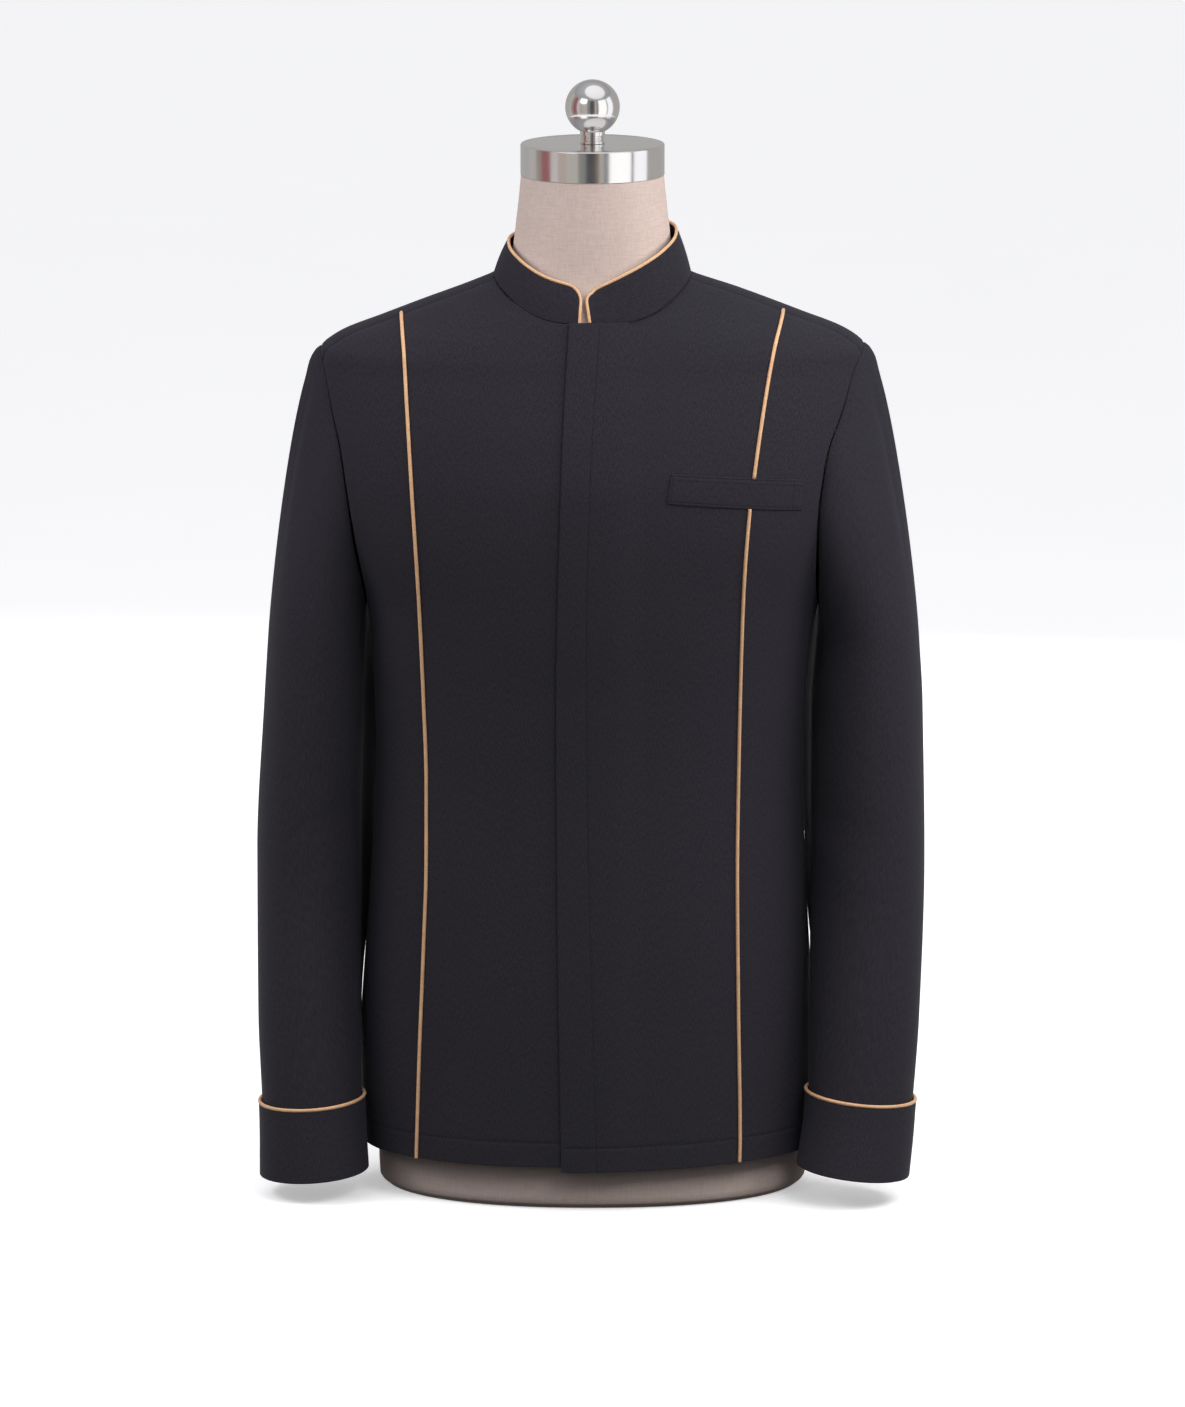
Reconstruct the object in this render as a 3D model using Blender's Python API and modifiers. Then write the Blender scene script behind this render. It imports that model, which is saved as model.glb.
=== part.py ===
# Stand-collar jacket with piped seams and turn-back cuffs, worn by a limbless dress form.
# Metres, +Z up. The front faces -Y and the wearer's left is at +X.
# The origin is the centre of the dress form's flat base. The tables are in millimetres.
import math

import bmesh
import bpy
import numpy as np

MM = 0.001
OBJECT_NAME = "stand_collar_jacket"

# Cloth
WALL = 2.0 * MM
SEAM_GAP = 0.3 * MM
LAP_RAISE = 2.5 * MM
HEM_HEIGHT = 36.5 * MM

# Neck and shoulder
NECK_HALF_WIDTH = 81 * MM
NECK_FRONT = 81 * MM
NECK_BACK = 68 * MM
NECK_ROUNDNESS = {"front": 2.6, "back": 2.1}
LEFT_SHOULDER_RISE = 2.5 * MM
SHOULDER_SEAM_Y = -13 * MM
SHOULDER_SPLIT_X = 156.5 * MM

# Armhole
ARMHOLE_CENTRE = 593.5 * MM
ARMHOLE_HALF_HEIGHT = 107.5 * MM
ARMHOLE_FRONT = {"left": 71 * MM, "right": 54 * MM}
ARMHOLE_BACK = 80 * MM
ARMHOLE_GAP = 0.8 * MM

# Front closure
TOP_OVERLAP = {"left": 19 * MM, "right": 10 * MM}
LAP_FULL = 14 * MM
LAP_END = 45 * MM

# Sleeve and cuff
SLEEVE_HEAD_END = 455 * MM
SLEEVE_HEAD_HANG = 0.75
BACK_SEAM_COLUMN = 7
FRONT_SEAM_COLUMN = 2
BACK_SEAM_DRIFT = 45
SLEEVE_DRIFT_LENGTH = 350 * MM
CUFF_WALL = 2.4 * MM
CUFF_GAP = 0.6 * MM
CUFF_HEIGHT = 58.5 * MM
CUFF_DROP = 1.5 * MM
CUFF_PIPING_OUT = 0.4 * MM
ABOVE_CUFF = 12 * MM

# Collar
COLLAR_TOP_HALF_WIDTH = 70 * MM
COLLAR_TOP_FRONT = 71 * MM
COLLAR_TOP_BACK = 64 * MM
COLLAR_GAP = 0.6 * MM
COLLAR_CORNER = 11 * MM
COLLAR_CORNER_STEPS = (0, 0.8 * MM, 3 * MM, 6.5 * MM, 11 * MM)
COLLAR_END_TURNS = {"base": (-8.2, -0.8), "top": (-7.9, -4.0)}
COLLAR_RIGHT_DROP = 4 * MM

# Welt pocket
WELT_THICKNESS = 1.5 * MM
WELT_CLEARANCE = 0.8 * MM
WELT_CROSSING = 0.63
# Each long edge from its inner to its outer end: x, height, x, height
WELT = {"upper": (62 * MM, 610 * MM, 172 * MM, 600 * MM),
        "lower": (60.5 * MM, 588.5 * MM, 170 * MM, 577 * MM)}

# Piping
PIPING_RADIUS = 1.5 * MM
COLLAR_PIPING_RADIUS = 1.3 * MM
COLLAR_PIPING_LIFT = 0.8 * MM

# Chrome neck cap and finial
CAP_RADIUS = 59 * MM
CAP_HEIGHTS = (841.3 * MM, 867 * MM)
CAP_ROUNDING = 1.2 * MM
STEM_RADIUS = 10.2 * MM
# Depth and height above the cap of the ring cut into the stem
STEM_GROOVE = ((0, 6 * MM), (0.7 * MM, 5.2 * MM), (0.7 * MM, 4.4 * MM), (0, 3.6 * MM))
BALL_RADIUS = 22.4 * MM
BALL_CENTRE = 897 * MM

# Grid sizes
LOWER_ROWS = 11
FRONT_ARMHOLE_ROWS = 11
BACK_ARMHOLE_ROWS = 13
NECK_FRONT_STEPS = 7
NECK_BACK_STEPS = 6
SHOULDER_STEPS = 3
SIDE_STEPS = 4
HEAD_STEPS = 7
CUFF_STEPS = 2
COLLAR_ROWS = 4
FORM_STEPS = 32


class Table:
    """Rows of numbers with named columns, joined by smooth curves that never overshoot."""

    def __init__(self, columns, rows, plain=()):
        values = np.array(rows, float)
        scale = [1 if name in plain else MM for name in columns]
        self.columns = columns
        self.rows = values * scale
        self.slopes = np.stack([self.smooth_slopes(k) for k in range(len(columns))], 1)

    def smooth_slopes(self, k):
        x = self.rows[:, 0]
        y = self.rows[:, k]
        step = np.diff(x)
        rise = np.diff(y) / step
        slope = np.zeros(len(x))
        slope[0] = rise[0]
        slope[-1] = rise[-1]
        for i in range(1, len(x) - 1):
            if rise[i - 1] * rise[i] > 0:
                before = 2 * step[i] + step[i - 1]
                after = step[i] + 2 * step[i - 1]
                slope[i] = (before + after) / (before / rise[i - 1] + after / rise[i])
        return slope

    def at(self, name, value):
        k = self.columns.index(name)
        x = self.rows[:, 0]
        y = self.rows[:, k]
        m = self.slopes[:, k]
        value = np.clip(value, x[0], x[-1])
        i = np.clip(np.searchsorted(x, value) - 1, 0, len(x) - 2)
        step = x[i + 1] - x[i]
        t = (value - x[i]) / step
        low = 2 * t**3 - 3 * t**2 + 1
        high = 3 * t**2 - 2 * t**3
        return (y[i] * low + y[i + 1] * high
                + step * (m[i] * (t**3 - 2 * t**2 + t) + m[i + 1] * (t**3 - t**2)))


# Outside of the jacket's body: half width, front and back depth, and roundness of each level
BODY = Table(("height", "half_width", "front", "back", "power"), (
    (0, 192, 136, 126, 2.2),
    (33, 190, 134, 124, 2.2),
    (120, 185, 130, 119, 2.2),
    (240, 178, 124, 109, 2.2),
    (350, 174, 119, 101, 2.2),
    (420, 177, 121, 103, 2.2),
    (486, 186, 126, 111, 2.2),
    (549, 209, 128, 117, 2.2),
    (590, 219, 126, 119, 2.15),
    (630, 224, 118, 116, 2.1),
    (665, 226, 107, 110, 2.0),
    (692, 227, 97, 102, 1.9),
    (699, 225, 94.5, 100, 1.9),
    (705, 218, 92, 97.5, 1.85),
    (712, 207, 89, 94.5, 1.85),
    (725, 174, 83.5, 88, 1.8),
    (739, 137, 76.5, 82, 1.8),
    (752, 101, 70, 76, 1.85),
    (760, 82, 66, 72, 1.9),
    (768, 72, 62, 69, 1.9),
    (790, 58, 56, 60, 2.0),
), plain=("power",))

# How much wider the body hangs on the wearer's right
RIGHT_SIDE = Table(("height", "extra"), (
    (33, 1.5), (66, 3), (100, 6), (149, 8.5), (240, 7.5), (350, 6), (440, 3.5), (486, 0),
    (600, 0)))

# Dress form, from its flat base to the top of its neck
FORM = Table(("height", "half_width", "front", "back", "power"), (
    (0, 172, 116, 106, 2.2),
    (5, 177, 121, 111, 2.2),
    (33, 178, 121, 111, 2.2),
    (120, 173, 118, 107, 2.2),
    (240, 167, 113, 98, 2.2),
    (350, 164, 109, 91, 2.2),
    (420, 167, 111, 93, 2.2),
    (486, 175, 116, 100, 2.2),
    (520, 187, 118, 104, 2.2),
    (549, 197, 118, 106, 2.2),
    (590, 207, 116, 108, 2.15),
    (630, 212, 108, 105, 2.1),
    (665, 214, 98, 100, 2.0),
    (686, 213, 92, 97, 1.95),
    (701, 209, 88.5, 94, 1.85),
    (708, 202, 86, 91.5, 1.85),
    (721, 173, 80.5, 85, 1.8),
    (734.5, 136, 73, 77.5, 1.8),
    (747, 101, 66.5, 71.5, 1.85),
    (753, 84, 64.5, 68.5, 1.9),
    (760, 73.5, 63.5, 65.5, 1.95),
    (770, 68.5, 63, 63.5, 2.0),
    (787, 64.5, 62.5, 61.5, 2.0),
    (804, 62.5, 61.3, 60.3, 2.0),
    (820, 60.6, 60, 59.6, 2.0),
    (841, 58.6, 58.6, 58.6, 2.0),
), plain=("power",))

# Each front's edge, measured from the centre line towards its own side: the left front's
# free edge laps over the centre, and the right front's hidden edge lies under it
FRONT_EDGE = {
    "left": Table(("height", "x"), (
        (33, -25.5), (240, -28.5), (400, -29.5), (620, -25), (732, -19))),
    "right": Table(("height", "x"), ((33, -10), (732, -10))),
}

# Line down the back that divides its grid: x, y and height, laid onto the surface
BACK_GUIDE = ((142, 95, 33), (138, 78, 350), (148, 82, 486), (154, 82, 620), (156, 68, 700),
              (156.5, 35, 733))

# Princess seams, measured outwards from the centre line
PRINCESS = {
    "left": Table(("height", "x"), (
        (33, 120.5), (55, 121), (171, 119.3), (279, 118.3), (379, 119.5), (506, 122.5),
        (582, 127.8), (606, 131), (667, 140.6), (706, 148.4), (731, 156.5), (745, 160))),
    "right": Table(("height", "x"), (
        (33, 145), (126, 142), (210, 138.5), (285, 136), (351, 135.8), (418, 137.8),
        (503, 141.3), (604, 147.3), (667, 151.2), (705, 153.6), (731, 156.5), (745, 158))),
}

# Height of the collar's upper edge, by the turn from the centre front in degrees
COLLAR_TOP = Table(("turn", "height"), (
    (0, 755), (14, 763), (28, 771.5), (43, 780.5), (58, 788), (73, 794), (90, 798), (135, 804),
    (180, 807)), plain=("turn",))

# Armhole's depth against an oval's, by its height from 1 at the top to -1 at the armpit
ARMHOLE_SHAPE = Table(("rise", "share"), (
    (-1, 1.0), (-0.45, 1.04), (-0.2, 1.02), (0, 0.985), (0.27, 0.93), (0.62, 0.764), (1, 0.72)),
    plain=("rise", "share"))

# Sleeves below the armpit: level rings whose outer side drops by the tilt, and whose inner
# back swings in behind the body by the tuck
SLEEVE_COLUMNS = ("height", "centre_x", "half_width", "centre_y", "half_depth", "tilt", "tuck")
SLEEVE = {
    "left": Table(SLEEVE_COLUMNS, (
        (20, 213.9, 43.9, -89, 44, 0.12, 0),
        (66, 220.2, 42.8, -73, 44.5, 0.11, 0),
        (149, 224.6, 45.5, -49, 49, 0.07, 0),
        (277, 228.3, 46.7, -12, 61, 0.02, 11),
        (403, 227, 46, 0, 68, 0, 18),
        (455, 227.5, 42.5, 4, 70, 0, 13)), plain=("tilt",)),
    "right": Table(SLEEVE_COLUMNS, (
        (15, 230.2, 42.4, -62, 47.5, 0.07, 0),
        (66, 232.2, 40.8, -52, 48.5, 0.07, 0),
        (149, 234.8, 42.2, -30, 55, 0.04, 5),
        (277, 235, 43, -2, 62, 0.01, 21),
        (403, 230.3, 41.2, 2, 68, 0, 22),
        (455, 227.8, 40.4, 4, 70, 0, 15)), plain=("tilt",)),
}

# Share of the tuck by the turn round the sleeve, from 90 at the front to 180 at the inside
# and 270 at the back
SLEEVE_TUCK = Table(("turn", "share"), ((-90, 0), (180, 0), (222, 1), (270, 0)),
                    plain=("turn", "share"))
CUFF_BOTTOM = {"left": 26 * MM, "right": 19 * MM}
SLEEVE_LEVELS = (420, 385, 345, 300, 255, 210, 170, 130)

# How the sleeve leaves the armhole: lean out of the body's surface, in degrees, and how far
# it keeps that lean, as a share of the way to the end of the sleeve head
SLEEVE_HEAD = Table(("turn", "lean", "reach"), (
    (0, 2, 0.32),
    (45, 14, 0.4),
    (90, 50, 0.55),
    (135, 115, 0.8),
    (180, 164, 1.0),
), plain=("turn", "lean", "reach"))


def body_level(points):
    """Below zero inside the jacket's outer surface, zero on it."""
    x = points[..., 0]
    y = points[..., 1]
    z = points[..., 2]
    depth = np.where(y < 0, BODY.at("front", z), BODY.at("back", z))
    power = BODY.at("power", z)
    ratio = (np.abs(x) / BODY.at("half_width", z))**power + (np.abs(y) / depth)**power
    return ratio**(1 / power) - 1


def body_gradient(points):
    step = 0.05 * MM
    parts = []
    for axis in range(3):
        shift = np.zeros(3)
        shift[axis] = step
        parts.append((body_level(points + shift) - body_level(points - shift)) / (2 * step))
    return np.stack(parts, -1)


def unit(vectors):
    return vectors / np.linalg.norm(vectors, axis=-1, keepdims=True)


def body_normal(points):
    return unit(body_gradient(points))


def settle(points, fixed_axis=None):
    """Moves points straight onto the jacket's outer surface."""
    points = np.array(points, float)
    for _ in range(12):
        gradient = body_gradient(points)
        if fixed_axis is not None:
            gradient[..., fixed_axis] = 0
        size = (gradient**2).sum(-1)
        points -= (body_level(points) / size)[..., None] * gradient
    return points


def rest_of_oval(size, other, other_size, power):
    """The second coordinate of an oval, from the first."""
    return size * np.clip(1 - (np.abs(other) / other_size)**power, 0, 1)**(1 / power)


def front_of_level(height, x):
    """The y of the body's front at a height and a distance from the centre line."""
    return -rest_of_oval(BODY.at("front", height), x, BODY.at("half_width", height),
                         BODY.at("power", height))


def side_of_level(height, y):
    """The x of the body's left side at a height and a depth."""
    depth = np.where(y > 0, BODY.at("back", height), BODY.at("front", height))
    return rest_of_oval(BODY.at("half_width", height), y, depth, BODY.at("power", height))


def resample(line, fractions):
    """Points along a dense line, at fractions of its length."""
    steps = np.linalg.norm(np.diff(line, axis=0), axis=1)
    length = np.concatenate([[0], np.cumsum(steps)])
    where = np.array(fractions) * length[-1]
    return np.stack([np.interp(where, length, line[:, k]) for k in range(3)], 1)


def even(steps):
    return np.linspace(0, 1, steps + 1)


# Seam lines on the jacket's outer surface, all on the +X side

def neck_oval(turn, half_width, front, back):
    """An oval round the neck: turn 0 is the centre front and 180 the centre back, in degrees."""
    sine = np.sin(np.radians(turn))
    cosine = np.cos(np.radians(turn))
    depth = np.where(cosine > 0, front, back)
    power = np.where(cosine > 0, NECK_ROUNDNESS["front"], NECK_ROUNDNESS["back"])
    radius = ((np.abs(sine) / half_width)**power + (np.abs(cosine) / depth)**power)**(-1 / power)
    return radius * sine, -radius * cosine


def neckline(turn):
    """The neck seam on the jacket's surface."""
    x, y = neck_oval(turn, NECK_HALF_WIDTH, NECK_FRONT, NECK_BACK)
    low = np.full(x.shape, 700 * MM)
    high = np.full(x.shape, 785 * MM)
    for _ in range(40):
        middle = (low + high) / 2
        inside = body_level(np.stack([x, y, middle], -1)) < 0
        low = np.where(inside, middle, low)
        high = np.where(inside, high, middle)
    return np.stack([x, y, low], -1)


def armhole(turn, side):
    """Turn 0 is the top, 90 the front, -90 the back and 180 the armpit, in degrees."""
    sine = np.sin(np.radians(turn))
    cosine = np.cos(np.radians(turn))
    height = ARMHOLE_CENTRE + ARMHOLE_HALF_HEIGHT * cosine
    depth = np.where(sine > 0, -ARMHOLE_FRONT[side], ARMHOLE_BACK)
    y = depth * np.abs(sine) * ARMHOLE_SHAPE.at("share", cosine)
    return np.stack([side_of_level(height, y), y, height], -1)


def line_frame(line, turns, *options):
    """Point, edge direction in the surface and surface normal along a seam line."""
    step = 0.2
    points = line(turns, *options)
    normal = body_normal(points)
    along = unit(line(turns + step, *options) - line(turns - step, *options))
    edge = unit(np.cross(normal, along))
    return points, edge, normal


def solve(function, low, high):
    for _ in range(50):
        middle = (low + high) / 2
        if function(middle) > 0:
            high = middle
        else:
            low = middle
    return (low + high) / 2


# Turns of the panels' corners on the neckline and on each armhole
NECK_END_TURN = solve(lambda turn: float(neckline(np.array(turn))[1]) - SHOULDER_SEAM_Y, 60.0, 90.0)
TIP_TURN = {side: solve(lambda turn: SHOULDER_SEAM_Y - float(armhole(np.array(turn), side)[1]),
                        5.0, 60.0) for side in ("left", "right")}
FRONT_TURNS = {side: np.linspace(180, tip, FRONT_ARMHOLE_ROWS + 1) for side, tip in TIP_TURN.items()}
BACK_TURNS = {side: np.linspace(-180, tip, BACK_ARMHOLE_ROWS + 1) for side, tip in TIP_TURN.items()}
NECK_TURNS = np.linspace(0, NECK_END_TURN, NECK_FRONT_STEPS + 1)
NECK_BACK_TURNS = np.linspace(180, NECK_END_TURN, NECK_BACK_STEPS + 1)


def shoulder_seam(side, share_from, share_to, steps):
    """Stretch of the shoulder seam, as shares of its length from the neck."""
    start = neckline(np.array(NECK_END_TURN))
    end = armhole(np.array(TIP_TURN[side]), side)
    line = start + (end - start) * even(120)[:, None]
    line = settle(line, fixed_axis=1)
    return resample(line, share_from + (share_to - share_from) * even(steps))


# Share of the shoulder seam's length at which the princess seams meet it
SHOULDER_SPLIT = {side: float(np.interp(SHOULDER_SPLIT_X, shoulder_seam(side, 0, 1, 200)[:, 0],
                                        even(200))) for side in ("left", "right")}


def front_line(table, top):
    """A line down the front, from the hem up to a height, by its distance from the centre."""
    z = np.linspace(HEM_HEIGHT, top, 400)
    x = table.at("x", z)
    return np.stack([x, front_of_level(z, x), z], 1)


def split_rows(line, upper_rows):
    """Even rows up to the armpit, then even rows to the top."""
    armpit = ARMHOLE_CENTRE - ARMHOLE_HALF_HEIGHT
    lower = line[line[:, 2] <= armpit]
    upper = line[line[:, 2] > armpit]
    joint = lower[-1:]
    return np.concatenate([resample(lower, even(LOWER_ROWS)),
                           resample(np.concatenate([joint, upper]), even(upper_rows))[1:]])


def side_line(turns, side):
    """The side seam and the armhole above it."""
    z = np.linspace(HEM_HEIGHT, ARMHOLE_CENTRE - ARMHOLE_HALF_HEIGHT, LOWER_ROWS + 1)
    seam = np.stack([BODY.at("half_width", z), 0 * z, z], 1)
    return np.concatenate([seam, armhole(turns[1:], side)])


def hem_line(x_from, x_to, fractions, back=False):
    """A stretch of the hem between two distances from the centre line."""
    spread = np.linspace(0, 1, 300)
    width = float(BODY.at("half_width", HEM_HEIGHT))
    angles = np.arcsin(x_from / width) + (np.arcsin(min(1.0, x_to / width))
                                          - np.arcsin(x_from / width)) * spread
    x = width * np.sin(angles)
    depth = float(BODY.at("back" if back else "front", HEM_HEIGHT))
    power = float(BODY.at("power", HEM_HEIGHT))
    y = depth * (1 - np.clip(np.abs(x) / width, 0, 1)**power)**(1 / power)
    line = np.stack([x, y if back else -y, np.full(len(x), HEM_HEIGHT)], 1)
    return resample(line, fractions)


def fractions_of(line):
    steps = np.linalg.norm(np.diff(line, axis=0), axis=1)
    return np.concatenate([[0], np.cumsum(steps)]) / steps.sum()


def patch(bottom, top, left, right):
    """A panel between four seam lines, laid onto the jacket's surface. Rows run upwards."""
    u = fractions_of(bottom)[None, :, None]
    v = fractions_of(left)[:, None, None]
    grid = (bottom[None] * (1 - v) + top[None] * v
            + left[:, None] * (1 - u) + right[:, None] * u
            - bottom[0] * (1 - u) * (1 - v) - bottom[-1] * u * (1 - v)
            - top[0] * (1 - u) * v - top[-1] * u * v)
    grid[1:-1, 1:-1] = settle(grid[1:-1, 1:-1])
    return grid


def inset(grid, normal, amount):
    """Draws the four edges of a grid inwards, along the surface."""
    result = grid.copy()
    for axis in (0, 1):
        along = np.gradient(grid, axis=1 - axis)
        edge = unit(np.cross(normal, unit(along)))
        for end, neighbour in ((0, 1), (-1, -2)):
            here = [slice(None), slice(None)]
            there = [slice(None), slice(None)]
            here[axis] = end
            there[axis] = neighbour
            inward = grid[tuple(there)] - grid[tuple(here)]
            direction = edge[tuple(here)]
            sign = np.sign((inward * direction).sum(-1))[:, None]
            result[tuple(here)] += direction * sign * amount
    return result


def add_object(name, mesh_or_curve, material):
    item = bpy.data.objects.new(name, mesh_or_curve)
    mesh_or_curve.materials.append(MATERIALS[material])
    COLLECTION.objects.link(item)
    return item


def mesh_from_bmesh(name, bm):
    bmesh.ops.recalc_face_normals(bm, faces=bm.faces)
    mesh = bpy.data.meshes.new(name)
    bm.to_mesh(mesh)
    bm.free()
    mesh.shade_smooth()
    mesh.set_sharp_from_angle(angle=math.radians(40))
    return mesh


def wall(name, outer, inner, material, closed=False):
    """A closed cloth wall between an outer and an inner grid of points."""
    outer = raise_left_shoulder(outer)
    inner = raise_left_shoulder(inner)
    rows, columns = outer.shape[:2]
    bm = bmesh.new()
    sheets = [[[bm.verts.new(point) for point in row] for row in grid]
              for grid in (outer, inner)]
    spans = columns if closed else columns - 1
    for sheet in sheets:
        for i in range(rows - 1):
            for j in range(spans):
                k = (j + 1) % columns
                bm.faces.new((sheet[i][j], sheet[i][k], sheet[i + 1][k], sheet[i + 1][j]))
    rim = [(sheets[0][i][j], sheets[0][i][(j + 1) % columns],
            sheets[1][i][(j + 1) % columns], sheets[1][i][j])
           for i in (0, rows - 1) for j in range(spans)]
    if not closed:
        rim += [(sheets[0][i][j], sheets[0][i + 1][j], sheets[1][i + 1][j], sheets[1][i][j])
                for j in (0, columns - 1) for i in range(rows - 1)]
    for corners in rim:
        bm.faces.new(corners)
    return add_object(name, mesh_from_bmesh(name, bm), material)


def tube(name, path, radius, material, closed=False):
    """A round cord through the points of a path."""
    curve = bpy.data.curves.new(name, "CURVE")
    curve.dimensions = "3D"
    curve.bevel_depth = radius
    curve.bevel_resolution = 2
    curve.use_fill_caps = not closed
    spline = curve.splines.new("POLY")
    spline.points.add(len(path) - 1)
    for point, place in zip(spline.points, raise_left_shoulder(path)):
        point.co = (*place, 1)
    spline.use_cyclic_u = closed
    return add_object(name, curve, material)


def smooth_step(low, high, value):
    t = np.clip((value - low) / (high - low), 0, 1)
    return t * t * (3 - 2 * t)


def mirrored(points, side):
    """Points worked out at +X, for the wearer's left, or mirrored for the right."""
    return points if side == "left" else points * np.array([-1, 1, 1])


def raise_left_shoulder(points):
    """The wearer's left shoulder sits a little higher than the right."""
    x = points[..., 0]
    z = points[..., 2]
    rise = smooth_step(70 * MM, 120 * MM, x) * smooth_step(560 * MM, 690 * MM, z)
    raised = points.copy()
    raised[..., 2] += LEFT_SHOULDER_RISE * rise
    return raised


def hang_right(points):
    """Moves the body's right side outwards, where it hangs wider."""
    hung = points.copy()
    share = smooth_step(145 * MM, 188 * MM, -points[..., 0])
    hung[..., 0] -= RIGHT_SIDE.at("extra", points[..., 2]) * share
    return hung


def panel(name, grid, side, raise_by=None):
    normal = body_normal(grid)
    outer = inset(grid, normal, SEAM_GAP / 2)
    if raise_by is not None:
        outer = outer + raise_by[..., None] * normal
    inner = outer - WALL * normal
    wall(name, hang_right(mirrored(outer, side)), hang_right(mirrored(inner, side)), "suit_cloth")


def princess_line(side):
    """Princess seam from the hem to the shoulder seam."""
    table = PRINCESS[side]

    def behind_seam(height):
        return front_of_level(height, table.at("x", height)) - SHOULDER_SEAM_Y

    top = solve(behind_seam, 0.7, 0.745)
    return split_rows(front_line(table, top), FRONT_ARMHOLE_ROWS)


def lap_raise(x):
    """How far the left front stands out over the right front beneath it."""
    return LAP_RAISE * (1 - smooth_step(LAP_FULL, LAP_END, x))


def build_front(side):
    princess = princess_line(side)
    edge_turn = -math.degrees(math.atan(TOP_OVERLAP[side] / NECK_FRONT))
    neck = neckline(np.concatenate([edge_turn * (1 - even(2)[:-1]), NECK_TURNS]))
    seam = shoulder_seam(side, 0, SHOULDER_SPLIT[side], SHOULDER_STEPS)
    princess[-1] = seam[-1]
    top = np.concatenate([neck, seam[1:]])
    edge = split_rows(front_line(FRONT_EDGE[side], neck[0, 2]), FRONT_ARMHOLE_ROWS)
    edge[-1] = neck[0]
    hem = hem_line(edge[0, 0], princess[0, 0], fractions_of(top))
    grid = patch(hem, top, edge, princess)
    raise_by = lap_raise(grid[..., 0]) if side == "left" else None
    panel(f"front_{side}_centre", grid, side, raise_by)
    arm = side_line(FRONT_TURNS[side], side)
    top = shoulder_seam(side, SHOULDER_SPLIT[side], 1, SIDE_STEPS)
    hem = hem_line(princess[0, 0], arm[0, 0], even(SIDE_STEPS))
    panel(f"front_{side}_side", patch(hem, top, princess, arm), side)
    return princess


def back_half(side):
    """Half of the back, from the centre line to the side seam."""
    z = np.linspace(HEM_HEIGHT, float(neckline(np.array(180.0))[2]), 400)
    centre = split_rows(np.stack([0 * z, BODY.at("back", z), z], 1), BACK_ARMHOLE_ROWS)
    seam = shoulder_seam(side, 0, SHOULDER_SPLIT[side], SHOULDER_STEPS)
    guide = np.concatenate([np.array(BACK_GUIDE) * MM, [seam[-1]]])
    dense = settle(resample(guide, even(400))[:-1], fixed_axis=0)
    middle = split_rows(np.concatenate([dense, [seam[-1]]]), BACK_ARMHOLE_ROWS)
    top = np.concatenate([neckline(NECK_BACK_TURNS), seam[1:]])
    hem = hem_line(0, middle[0, 0], fractions_of(top), back=True)
    middle[0] = hem[-1]
    inner_grid = patch(hem, top, centre, middle)
    arm = side_line(BACK_TURNS[side], side)
    top = shoulder_seam(side, SHOULDER_SPLIT[side], 1, SIDE_STEPS)
    hem = hem_line(middle[0, 0], arm[0, 0], even(SIDE_STEPS), back=True)
    outer_grid = patch(hem, top, middle, arm)
    return np.concatenate([inner_grid, outer_grid[:, 1:]], 1)


def build_back():
    right = mirrored(back_half("right"), "right")[:, :0:-1]
    panel("back", np.concatenate([right, back_half("left")], 1), "left")


def sleeve_ring(side, turns, height):
    """A ring of the sleeve below its head, at turns matching the armhole's."""
    table = SLEEVE[side]
    angle = np.radians(turns)
    swing = table.at("half_width", height) * np.cos(angle)
    tuck = table.at("tuck", height) * SLEEVE_TUCK.at("share", (turns + 90) % 360 - 90)
    x = table.at("centre_x", height) + swing - tuck
    y = table.at("centre_y", height) - table.at("half_depth", height) * np.sin(angle)
    z = height - table.at("tilt", height) * swing
    return np.stack(np.broadcast_arrays(x, y, z), -1)


def sleeve_point(side, turns, rows):
    """Points of the sleeve. Row 0 is the armhole and row 1 the end of the sleeve head.

    A row above 1 is 1 plus the drop below the head's end in metres."""
    start, edge, normal = line_frame(armhole, turns, side)
    start = start + ARMHOLE_GAP * (edge + normal)
    lean = np.radians(SLEEVE_HEAD.at("lean", np.abs(turns)))[..., None]
    leave = np.cos(lean) * edge + np.sin(lean) * normal
    end = sleeve_ring(side, turns, np.full(turns.shape, SLEEVE_HEAD_END))
    below = sleeve_ring(side, turns, np.full(turns.shape, SLEEVE_HEAD_END - 1 * MM))
    distance = np.linalg.norm(end - start, axis=-1, keepdims=True)
    reach = SLEEVE_HEAD.at("reach", np.abs(turns))[..., None]
    first = leave * distance * reach
    last = unit(below - end) * distance * SLEEVE_HEAD_HANG
    t = np.clip(rows, 0, 1)[..., None]
    head = (start * (2 * t**3 - 3 * t**2 + 1) + end * (3 * t**2 - 2 * t**3)
            + first * (t**3 - 2 * t**2 + t) + last * (t**3 - t**2))
    lower = sleeve_ring(side, turns, SLEEVE_HEAD_END - np.maximum(rows - 1, 0))
    return np.where((rows > 1)[..., None], lower, head)


def sleeve_surface(side, turns, rows):
    """Grid of points and outward normals of the sleeve tube."""
    point = sleeve_point(side, turns, rows)
    around = sleeve_point(side, turns + 0.5, rows) - sleeve_point(side, turns - 0.5, rows)
    small = np.where(rows >= 1, 2 * MM, 0.02)
    lowest = 1 + SLEEVE_HEAD_END - SLEEVE[side].rows[0, 0]
    up = sleeve_point(side, turns, np.clip(rows - small, 0, lowest))
    down = sleeve_point(side, turns, np.clip(rows + small, 0, lowest))
    normal = unit(np.cross(up - down, around))
    return point, normal


def cuff_levels(side):
    return CUFF_BOTTOM[side] + CUFF_HEIGHT * even(CUFF_STEPS)


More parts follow.
